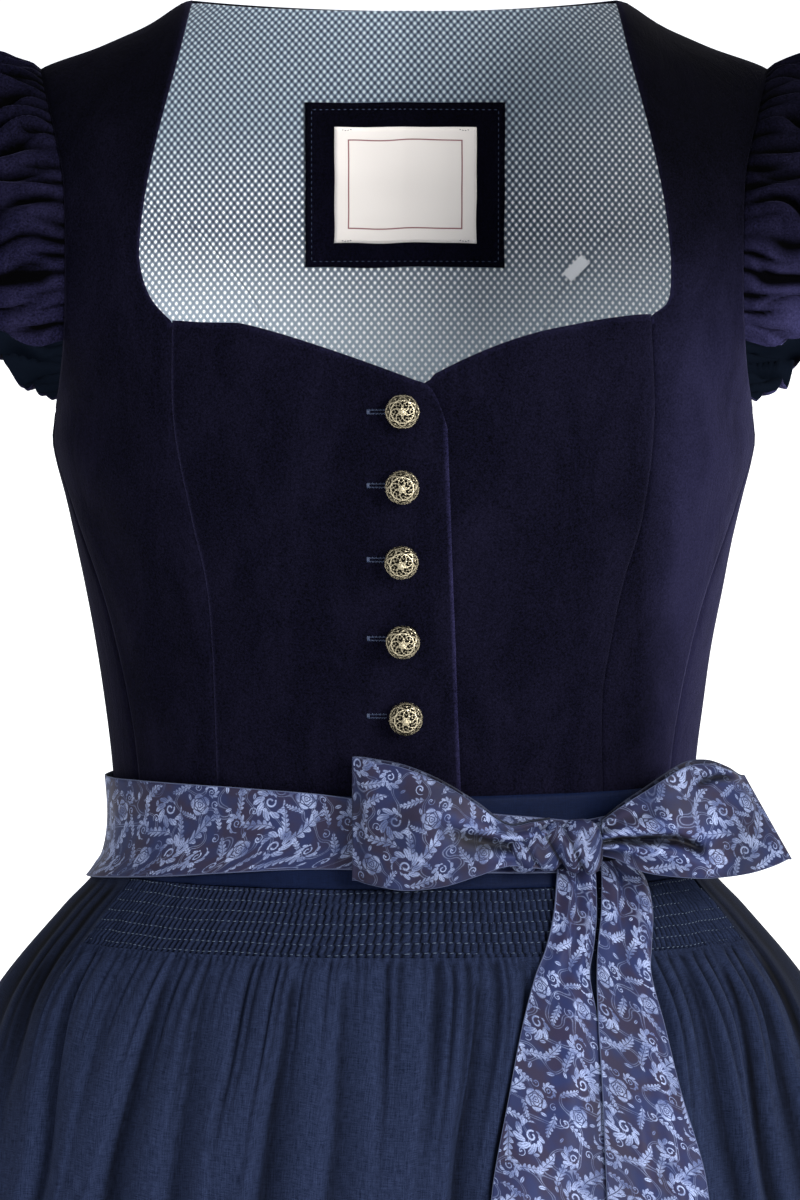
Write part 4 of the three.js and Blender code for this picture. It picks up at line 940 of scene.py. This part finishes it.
def apron_skirt(u, v):
    reach = math.sin(APRON_REACH)
    share = 2 * u - 1
    start = np.arcsin(share * reach)
    beside = (start < SMOCK_FROM - 0.005) | (start > SMOCK_TO + 0.005)
    top = np.where(beside, SMOCK_TOP, SMOCK_FOOT + 0.3)
    z = top + (APRON_HEM - top) * (1 - v) ** 1.8
    low = np.interp(share, [-1, *tops, 1], [-1, *lows, 1])
    drift = ease(SMOCK_FOOT, SMOCK_FOOT - 110, z)
    half = at(RING_Z, RING["half"], z)
    depth = at(FOLD_Z, APRON_DEPTH, z)
    spread = 3.2 + 0.036 * np.maximum(SMOCK_FOOT - z, 0)
    bend = 1.5 * wander(share * 3, z / 90, 64) * ease(-440, -520, z)
    sink, line = np.zeros_like(u), np.zeros_like(u)
    for fold_top, deep in zip(tops, deeps):
        away = (share - fold_top) * half + bend
        away = away * (1 if fold_top < 0.45 else -1)
        steep = np.where(away < 0, 0.55 * spread, 1.7 * spread)
        fade = 1 - 0.75 * (deep < 0.65) * ease(-455, -540, z) * (1 - ease(-660, -840, z))
        sink = np.maximum(sink, deep * fade * bell(away, 0, steep))
        crease = np.where(away < 0, 0.2 * spread, 0.75 * spread)
        line = np.maximum(line, deep * fade * bell(away + 0.1 * spread, 0, crease))
    length = share * 165 + 2.2 * wander(share * 14, 0 * share, 65)
    rank = np.rint(length / GATHER_PITCH)
    own = 0.5 + 0.5 * np.sin(2.4 * rank + 3 * np.sin(rank))
    held = 1 - ease(-438, -470 - 85 * own, z)
    valley = (0.5 + 0.5 * np.cos(2 * math.pi * (length + bend) / GATHER_PITCH)) ** 2
    valley = valley * held * (0.35 + 0.55 * own)
    valley = valley * np.where(beside, 0.7 * ease(-404, -412, z), ease(-432, -438, z))
    ribs = 0.5 + 0.5 * np.cos(2 * math.pi * RIBS * (start - SMOCK_FROM) / (SMOCK_TO - SMOCK_FROM))
    ribs = ribs * ~beside * (1 - ease(-433, -441, z))
    soft = 0.16 * depth * wander(share * 9, z / 130, 67)
    out = depth * (1 - sink) - np.minimum(2.8 * valley, 0.7 * depth) + ribs * 1.3 + soft * (1 - sink)
    angle = np.arcsin((share + (low - share) * drift) * reach)
    line = line * ease(1, 0.95, np.abs(share))
    # Painted shade in the creases and gathers, beside the smocking and between its ribs near the top, and at the
    # wearer's left hip.
    hip = 0.2 * ease(0.5, 0.95, share) * (1 - ease(-500, -640, z))
    painted_shade = hip + np.maximum(0.8 * line * ease(-436, -450, z), 0.85 * valley)
    painted_shade = painted_shade + 0.5 * beside * (1 - ease(-440, -540, z))
    painted_shade = painted_shade + 0.35 * (1 - ribs) * (1 - ease(-433, -440, z)) * ~beside
    return form(angle, z, APRON_OUT + np.clip(out, 0.1, depth * 1.15 + 0.6)), painted_shade


sateen = linen_finish("blue_sateen", (0.002, 0.0045, 0.018), (0.0035, 0.008, 0.031), 0.6, 0.0)
pale_thread, _, _ = finish("pale_thread", (0.075, 0.105, 0.155), 0.5)
band = cloth("apron_waistband_sateen", 120, 18, waistband, 1.0, sateen)
smocked = cloth("apron_smocking_linen", RIBS * 4, 42, smocking, 0.8, linen)
gathered = cloth("apron_skirt_linen", 440, 84, apron_skirt, 0.9, linen)
starts, ends = [], []
for row, z in enumerate(STITCH_Z):
    for rib in range(RIBS + 1):
        for end, into in ((starts, -0.3), (ends, 0.3)):
            u = np.array([(rib + into) / RIBS])
            angle = SMOCK_FROM + (SMOCK_TO - SMOCK_FROM) * u
            level = z + sway(u) + 0.3 * into + 0.15 * math.sin(7 * rib + row)
            end.append(form(angle, level, APRON_OUT + 0.95 + 0.6 * wander(u * 16, 0.5 + 0 * u, 62))[0])
smock_stitches = stitches("apron_smocking_stitches", starts, ends, 0.4, pale_thread, "apron_linen")
sewn(band, ["apron_waistband"])
sewn(smocked, ["apron_smocking"])
sewn(gathered, ["apron_skirt"])

# Ribbon. A printed satin ribbon goes once round the waist over the waistband and is tied in a bow at the wearer's
# left, with two long tails. Its print is a loose pale scroll of feathered leaves, plumes, curls, blossoms and
# buds over thin winding stems.
KNOT_FROM, KNOT_WIDTH, KNOT_Z = 47.5, 43.5, -384.5
RIBBON_WALL = 0.7
RIBBON_EDGES = ([0, -40, -100, -170, -260], [-374, -369, -360, -358, -361], [-397, -396, -394.8, -401, -409])
# From the knot outwards: x, top and bottom edge, and y of the front and the rear layer
RIGHT_LOOP = [
    (66.6, -371, -394, -104, -97), (58, -372, -393, -107, -98.5), (47, -373, -392, -110, -100.5),
    (33, -363, -396, -116, -102.5), (17, -353, -400.5, -119.5, -104), (0, -346, -402, -119.5, -104.5),
    (-15, -343, -400, -116, -105), (-21.5, -342, -398.5, -111, -107),
]  # fmt: skip
LEFT_LOOP = [
    (90.1, -372, -388, -101, -95), (98, -366, -390, -103, -91.5), (108, -359.5, -395, -104, -88),
    (120, -353, -397.5, -103, -82), (134, -347.5, -399, -98, -77), (148, -347, -398, -90.5, -72),
    (159.5, -350.5, -395, -82, -69), (165.5, -354, -393, -75.5, -69),
]  # fmt: skip
UNDER_TAIL = (
    [-395, -415, -429, -441, -464, -493, -533, -620, -740, -860],
    [69.5, 67.5, 64, 59, 52.5, 46.5, 39, 31, 24, 19],
    [87, 87.5, 86, 84, 88, 91, 92, 84, 77, 72],
)
OVER_TAIL = (
    [-392, -400, -415, -429, -441, -464, -493, -533, -620, -740, -860],
    [89, 89.5, 89, 87.5, 87, 87.5, 89, 90.5, 93, 95, 97],
    [101, 109, 113, 112.5, 112, 118, 125, 136, 145, 148, 150],
)


def motif(name):
    """A new node group that takes a place in a motif's own lengths and gives back where its ink lies."""
    made = bpy.data.node_groups.new(name, "ShaderNodeTree")
    made.interface.new_socket(name="Place", in_out="INPUT", socket_type="NodeSocketVector")
    made.interface.new_socket(name="Ink", in_out="OUTPUT", socket_type="NodeSocketFloat")
    place = made.nodes.new("NodeGroupInput").outputs["Place"]
    x, y, _ = put(made, "SeparateXYZ", place).outputs
    far = put(made, "VectorMath", place, operation="LENGTH").outputs["Value"]
    turn = reckon(made, "ARCTAN2", y, x)
    return made, x, y, far, turn


def ridged(tree, value, factor, shift=0.0):
    """The absolute sine of value times factor, in half turns."""
    turned = scaled(tree, value, factor * math.pi, shift * math.pi)
    return reckon(tree, "ABSOLUTE", reckon(tree, "SINE", turned))


def beside_line(tree, value, place, half, soft):
    """1 away from a line where value equals place, and 0 on it."""
    return ramp(tree, reckon(tree, "ABSOLUTE", reckon(tree, "SUBTRACT", value, place)), half, half + soft)


def inked(tree, *inks):
    """The finished group of a motif, whose ink lies where all these do."""
    feed(tree, tree.nodes.new("NodeGroupOutput"), Ink=product(tree, *inks))
    return tree


def leaf_motif():
    """A feathered leaf bent round a spiral, with slanting engraved leaflets, and a curl in its middle."""
    tree, _, _, far, turn = motif("print_leaf")
    share = scaled(tree, turn, 0.5 / math.pi, 0.5)
    off = reckon(tree, "SUBTRACT", far, scaled(tree, share, 0.34, 0.34))
    swell = reckon(tree, "SINE", reckon(tree, "MULTIPLY", share, math.pi))
    lean = scaled(tree, off, -1.4, reckon(tree, "MULTIPLY", share, 9.0))
    lobe = ridged(tree, lean, 1)
    width = reckon(tree, "MULTIPLY", scaled(tree, lobe, 0.3, 0.12), swell)
    outer = ramp(tree, reckon(tree, "SUBTRACT", width, off), 0.0, 0.04)
    inner_width = reckon(tree, "MULTIPLY", scaled(tree, lobe, 0.1, 0.07), swell)
    inner = ramp(tree, reckon(tree, "ADD", off, inner_width), 0.0, 0.03)
    cut = reckon(tree, "MAXIMUM", ramp(tree, lobe, 0.2, 0.45), ramp(tree, off, 0.07, 0.03))
    engraved = ramp(tree, ridged(tree, lean, 3), 0.15, 0.6, 0.35, 1.0)
    leaf = product(tree, outer, inner, cut, engraved)
    spiral = reckon(tree, "ABSOLUTE", reckon(tree, "SUBTRACT", far, scaled(tree, share, 0.16, 0.1)))
    curl = ramp(tree, spiral, 0.055, 0.025)
    return inked(tree, reckon(tree, "MAXIMUM", leaf, curl))


def plume_motif():
    """A feather along a bent spine, with a dark vein and slanting barbs."""
    tree, x, y, _, _ = motif("print_plume")
    spine = reckon(tree, "MULTIPLY", reckon(tree, "SINE", reckon(tree, "MULTIPLY", x, 1.9)), 0.3)
    off = reckon(tree, "ABSOLUTE", reckon(tree, "SUBTRACT", y, spine))
    lean = scaled(tree, off, -2.4, reckon(tree, "MULTIPLY", x, 3.6))
    lobe = ridged(tree, lean, 1)
    room = scaled(tree, reckon(tree, "MULTIPLY", x, x), -1.0, 1.0)
    width = reckon(tree, "MULTIPLY", scaled(tree, lobe, 0.25, 0.07), room)
    body = ramp(tree, reckon(tree, "SUBTRACT", width, off), 0.0, 0.035)
    cut = reckon(tree, "MAXIMUM", ramp(tree, lobe, 0.15, 0.4), ramp(tree, off, 0.06, 0.03))
    engraved = ramp(tree, ridged(tree, lean, 4), 0.15, 0.6, 0.4, 1.0)
    return inked(tree, body, cut, engraved, ramp(tree, off, 0.008, 0.03))


def curl_motif():
    """A thin spiral that ends in a small ball."""
    tree, _, _, far, turn = motif("print_curl")
    share = scaled(tree, turn, 0.5 / math.pi, 0.5)
    off = reckon(tree, "ABSOLUTE", reckon(tree, "SUBTRACT", far, scaled(tree, share, 0.6, 0.3)))
    line = ramp(tree, reckon(tree, "SUBTRACT", scaled(tree, share, -0.1, 0.16), off), 0.0, 0.05)
    return inked(tree, reckon(tree, "MAXIMUM", line, ramp(tree, far, 0.2, 0.13)))


def rose_motif():
    """A full blossom: five wide outer petals, rings of smaller ones inside and a dark eye."""
    tree, _, _, far, turn = motif("print_rose")
    fan = reckon(tree, "MULTIPLY", turn, 1 / math.pi)
    petal, middle, core = ridged(tree, fan, 2.5), ridged(tree, fan, 2, 0.3), ridged(tree, fan, 1.5)
    edge = reckon(tree, "SUBTRACT", scaled(tree, petal, 0.22, 0.76), far)
    split = reckon(tree, "MAXIMUM", ramp(tree, petal, 0.06, 0.22), ramp(tree, far, 0.68, 0.6))
    rings = [
        beside_line(tree, far, scaled(tree, petal, 0.12, 0.8), 0.008, 0.03),
        beside_line(tree, far, scaled(tree, petal, -0.12, 0.66), 0.02, 0.05),
        beside_line(tree, far, scaled(tree, middle, 0.14, 0.36), 0.016, 0.05),
        beside_line(tree, far, scaled(tree, core, 0.08, 0.17), 0.016, 0.05),
    ]
    rays = ramp(tree, ridged(tree, fan, 20), 0.1, 0.6, 0.5, 1.0)
    return inked(tree, ramp(tree, edge, 0.0, 0.04), split, *rings, rays, ramp(tree, far, 0.04, 0.08))


def bud_motif():
    """A small pointed leaf with a vein."""
    tree, x, y, _, _ = motif("print_bud")
    side = reckon(tree, "ABSOLUTE", y)
    room = scaled(tree, reckon(tree, "MULTIPLY", x, x), -0.42, 0.42)
    body = ramp(tree, reckon(tree, "SUBTRACT", room, side), 0.0, 0.08)
    return inked(tree, body, ramp(tree, side, 0.03, 0.09))


PRINT_TILE = (53.0, 43.0)
# What is printed in each repeat: which motif, its place, its size in millimetres and its turn in degrees
PRINTED = [
    ("rose", 12, 10, 5.4, 10), ("rose", 40.8, 32.4, 5.6, 60), ("leaf", 28, 11, 9.4, 30),
    ("leaf", 23.6, 31.6, 9.6, 200), ("leaf", 6.8, 22.6, 6.2, 110), ("leaf", 45, 8.6, 6.6, 250),
    ("leaf", 47.4, 37.8, 4.4, 20), ("plume", 41, 20, 11, 20), ("plume", 16.8, 21.4, 9, 150),
    ("plume", 36, 3.4, 7.4, 350), ("plume", 30.6, 21.4, 7, 70), ("plume", 13.6, 39.6, 8, 8),
    ("plume", 31.6, 40.2, 6.6, 172), ("plume", 3.2, 11, 7, 95), ("plume", 49.8, 25.2, 6, 80),
    ("plume", 9, 32.6, 7, 50), ("plume", 37, 12.4, 5, 110), ("plume", 20.6, 4.6, 6, 30),
    ("plume", 34.6, 28, 5, 130), ("curl", 6.2, 3.4, 2.8, 120), ("curl", 50, 16.2, 2.4, 300),
    ("curl", 15.2, 27.6, 2.4, 30), ("curl", 40.6, 40.6, 2, 200), ("curl", 19, 14.8, 2.6, 300),
    ("curl", 48.6, 32, 2.2, 90), ("bud", 29, 26.6, 2, 160), ("bud", 2.4, 29, 2, 20),
    ("bud", 2.6, 38.6, 2.2, 80), ("bud", 16, 34.6, 1.8, 250), ("bud", 11.4, 17.2, 1.8, 70),
    ("bud", 43.6, 26.2, 1.8, 60), ("bud", 28.4, 2.2, 1.7, 330), ("bud", 51, 2.4, 1.6, 30),
    ("bud", 35.6, 36.4, 1.8, 100),
]  # fmt: skip


def ribbon_finish():
    words = {"Sheen_Weight": 0.03, "Sheen_Roughness": 0.4, "Specular_IOR_Level": 0.14}
    made, tree, shader = finish("printed_ribbon", (0.08, 0.09, 0.16), 0.55, **words)
    lengths = cloth_lengths(tree)
    x, y, _ = put(tree, "SeparateXYZ", lengths).outputs
    row = reckon(tree, "FLOOR", reckon(tree, "DIVIDE", y, PRINT_TILE[1]))
    x = reckon(tree, "WRAP", scaled(tree, row, PRINT_TILE[0] * 0.45, x), 0.0, PRINT_TILE[0])
    y = reckon(tree, "WRAP", y, 0.0, PRINT_TILE[1])
    tile = put(tree, "CombineXYZ", x, y, 0.0).outputs[0]
    kinds = {"leaf": leaf_motif(), "curl": curl_motif(), "rose": rose_motif()}
    kinds |= {"bud": bud_motif(), "plume": plume_motif()}
    ink = None
    for kind, place_x, place_y, size, degrees in PRINTED:
        where = {"Location": (place_x, place_y, 0), "Scale": [size] * 3}
        own = put(tree, "Mapping", tile, vector_type="TEXTURE", **where)
        own.inputs["Rotation"].default_value = (0, 0, math.radians(degrees))
        drawn = tree.nodes.new("ShaderNodeGroup")
        drawn.node_tree = kinds[kind]
        feed(tree, drawn, Place=own.outputs[0])
        ink = drawn.outputs["Ink"] if ink is None else reckon(tree, "MAXIMUM", ink, drawn.outputs["Ink"])
    blotch = ramp(tree, noise(tree, lengths, Scale=0.07, Detail=2.0), 0.4, 0.6)
    ground = mix(tree, blotch, (0.0255, 0.0215, 0.052, 1), (0.018, 0.026, 0.086, 1))
    fade = ramp(tree, noise(tree, lengths, Scale=0.12, Detail=2.0), 0.35, 0.65)
    pale = mix(tree, fade, (0.11, 0.145, 0.3, 1), (0.41, 0.49, 0.76, 1))
    winding = noise(tree, lengths, Scale=0.08, Detail=0.0)
    for line in (0.46, 0.5):
        stem = scaled(tree, beside_line(tree, winding, line, 0.002, 0.01), -0.4, 0.4)
        ink = reckon(tree, "MAXIMUM", ink, stem)
    grain = noise(tree, lengths, Scale=2.2, Detail=2.0)
    ink = reckon(tree, "MULTIPLY", ink, ramp(tree, grain, 0.2, 0.55))
    printed = mix(tree, ink, ground, pale)
    hem = known(tree, "hem")
    edge = ramp(tree, hem, 0.45, 0.25)
    colour = mix(tree, edge, printed, (0.095, 0.115, 0.21, 1))
    # Painted shade read from the cloth's attribute, darkening the print in folds and on the bow's shaded parts.
    painted_shade = known(tree, "painted_shade")
    lit = ramp(tree, painted_shade, 0.0, 1.0, 1.0, 0.12)
    colour = put(tree, "VectorMath", colour, lit, operation="MULTIPLY").outputs[0]
    feed(tree, shader, Base_Color=colour, Normal=bumped(tree, grain, 0.15, 0.0002))
    return made


ribbon = ribbon_finish()
knot_angle = float(angle_at(78.5, -384))


def ribbon_band(u, v):
    turn = 2 * math.pi - 0.012 - (2 * math.pi - 0.024) * u
    angle = knot_angle - turn
    away = np.minimum(turn, 2 * math.pi - turn) * 120
    top, bottom = at(RIBBON_EDGES[0], RIBBON_EDGES[1], -away), at(RIBBON_EDGES[0], RIBBON_EDGES[2], -away)
    z = bottom + (top - bottom) * v
    facing = np.cos(angle)
    over = ease(-0.2, 0.05, facing) * (BAND_WALL + LAYER_GAP) + 1.2 * ease(-398, -404, z)
    bulge = np.maximum(0, facing) * lap_bulge(form(angle, z)[..., 0], z)
    pinch = 1 - ease(20, 120, away)
    folds = 1.3 * pinch * np.cos(2 * math.pi * (2.6 * v + away / 300)) + 0.6 * wander(away / 45, v * 0.8, 71)
    # Painted shade a little everywhere, less on the raised folds.
    return form(angle, z, np.maximum(over + bulge + 1.7 + folds, over + bulge + 1.0)), 0.25 - 0.06 * folds


def loop(stations, lean, folds):
    """A bow loop. Its front layer runs out from the knot through the stations, and its rear layer back."""
    rows = np.array(stations, float)
    outside = np.sign(rows[-1, 0] - rows[0, 0])
    end = rows[-1]
    tip = np.array([[end[0] + 2.2 * outside, end[1], end[2], (end[3] + end[4]) / 2]])
    path = np.concatenate([rows[:, :4], tip, rows[::-1][:, [0, 1, 2, 4]]])
    count = -np.arange(len(path))

    def surface(u, v):
        k = -u * (len(path) - 1)
        x, top, bottom, y = (at(count, path[:, c], k) for c in range(4))
        x = x + lean * (0.5 - v) * ease(rows[-1, 0] - 60 * outside, rows[-1, 0], x)
        z = bottom + (top - bottom) * v
        front_side = 1 - ease(0.46, 0.56, u)
        away = np.abs(x - rows[0, 0])
        push = 2.4 * np.sin(math.pi * v) * (1.3 * front_side - 0.3) * ease(0, 30, away)
        out = folds(away, v)
        # Painted shade: a little everywhere, more near the knot, on the rear layer and in the valleys, and less on
        # the raised folds.
        shaded = 0.39 + 0.35 * (1 - ease(2, 16, away)) + 0.4 * (1 - front_side)
        return np.stack([x, y - push - out * (2 * front_side - 1), z], -1), shaded - out / 3.2

    return surface


def right_folds(away, v):
    near = np.exp(-away / 26)
    valley = -3.2 * bell(v - 0.42, away / 400, 0.1) * (1 - ease(30, 62, away))
    roll = 2.2 * bell(v, 0.72, 0.12) * near + 1.6 * bell(v, 0.14, 0.09) * near
    return valley + roll + 0.9 * near * np.cos(2 * math.pi * 4.2 * v) + 0.7 * wander(away / 35, v * 1.2, 72)


def left_folds(away, v):
    near = np.exp(-away / 20)
    crease = np.interp(away, [0, 20, 34, 46], [0.36, 0.4, 0.37, 0.26])
    valley = -5.0 * bell(v, crease, 0.05) * (1 - ease(42, 50, away))
    upper = 2.0 * bell(v - crease, 0.14, 0.09) * (1 - ease(40, 60, away))
    lower = 2.8 * bell(v - crease + 0.13, 0, 0.08) * (1 - ease(46, 66, away))
    corner = -3.0 * bell(v - 0.86, (away - 50) * 0.005, 0.035) * ease(42, 47, away)
    out = valley + upper + lower + corner * (1 - ease(56, 64, away))
    return out + 0.7 * near * np.cos(2 * math.pi * 3.6 * v) + 0.6 * wander(away / 35, v, 73)


def knot(u, v):
    turn = 2 * math.pi * (v - 0.5)
    x = KNOT_FROM + KNOT_WIDTH * u
    slant = 4.5 * np.sin(turn)
    waist = 1.0
    # Painted shade all over the knot, deeper at its ends and in its grooves.
    painted_shade = 0.38 + 0.4 * (1 - ease(0, 0.06, np.minimum(u, 1 - u)))
    for groove, deep, wide in ((56.5, 0.32, 1.6), (67.5, 0.42, 2.0), (77, 0.34, 1.6)):
        near = bell(x + slant, groove, wide)
        waist = waist - deep * near
        painted_shade = np.maximum(painted_shade, 2.4 * deep * bell(x + slant, groove, 0.6 * wide))
    ends = np.sqrt(np.clip(1 - (2 * u - 1) ** 8, 0, 1))
    high = (11.3 + 1.8 * bell(x, 84, 9)) * (0.25 + 0.75 * waist) * ends
    deep = 7.8 * (0.3 + 0.7 * waist) * (1 + 0.12 * np.cos(3 * turn + x / 4)) * ends
    middle = KNOT_Z + 1.0 * np.sin(x / 9)
    y = -104 + (x - KNOT_FROM) * 0.08 - np.cos(turn) * deep
    return np.stack([x, y, middle + np.sin(turn) * high], -1), painted_shade


def tail(table, lift, folds):
    """A tail of the bow, hanging over the apron's folds between the left and right edges in its table."""
    def surface(u, v):
        z = table[0][0] + (table[0][-1] - table[0][0]) * (1 - v) ** 1.35
        left, right = at(table[0], table[1], z), at(table[0], table[2], z)
        x = left + (right - left) * u
        clear = APRON_OUT + 0.9 + at(FOLD_Z, APRON_DEPTH, z) + 1.0 + lift
        slanted = z - 22 * (u - 0.5) * (1 - v) ** 4
        out = folds(u, z)
        # Painted shade near the bow and in the valleys of the folds.
        high = 1 - ease(-400, -440, z)
        valley = (0.9 - 0.45 * high) * bell(out, 0.3, 0.75)
        painted_shade = 0.5 * high + valley * (1 - 0.55 * ease(-560, -760, z))
        return form(angle_at(x, z, clear), slanted, clear + RIBBON_WALL + out), 0.25 * painted_shade

    return surface


def under_folds(u, z):
    top = 1 - ease(-400, -470, z)
    out = 1.6 * top * (1 + np.cos(2 * math.pi * (2.2 * u + 0.3)))
    out = out + 3.2 * bell(u, 0.62, 0.16) * ease(-425, -450, z) * (1 - ease(-480, -560, z))
    out = out + 1.6 * bell(u - 0.3, (z + 500) / 900, 0.2) * ease(-480, -560, z)
    return out * (1 - 0.8 * ease(0.8, 0.97, u)) + 0.5 * (1 + wander(u, z / 90, 74))


def over_folds(u, z):
    top = 1 - ease(-398, -455, z)
    out = 1.5 * top * (1 + np.cos(2 * math.pi * (1.8 * u + 0.6)))
    out = out + 2.4 * bell(u, 0.72, 0.1) * ease(-440, -480, z)
    out = out + 1.8 * bell(u, 0.42, 0.09) * ease(-470, -520, z) * (1 - 0.5 * ease(-560, -700, z))
    return out + 0.5 * (1 + wander(u, z / 90, 75))


for name, (across, up), surface, hem, flat, held, share in [
    ("ribbon_band", (300, 26), ribbon_band, "v", (760, 56), "stretched", 0.8),
    ("bow_loop_right", (176, 54), loop(RIGHT_LOOP, 0, right_folds), "v", (190, 58), "folded", 0.9),
    ("bow_loop_left", (176, 54), loop(LEFT_LOOP, 22, left_folds), "v", (160, 58), "folded", 0.9),
    ("bow_knot", (112, 84), knot, "u", (44, 62), "folded", 1.0),
    ("tail_under", (44, 180), tail(UNDER_TAIL, 0, under_folds), "u", (58, 480), "hung", 0.9),
    ("tail_over", (44, 180), tail(OVER_TAIL, 1.9, over_folds), "u", (58, 480), "hung", 0.9),
]:
    flip = name == "bow_loop_right"
    piece = cloth(name + "_printed", across, up, surface, RIBBON_WALL, ribbon, turned=flip, hem=hem)
    sewn(piece, [name])
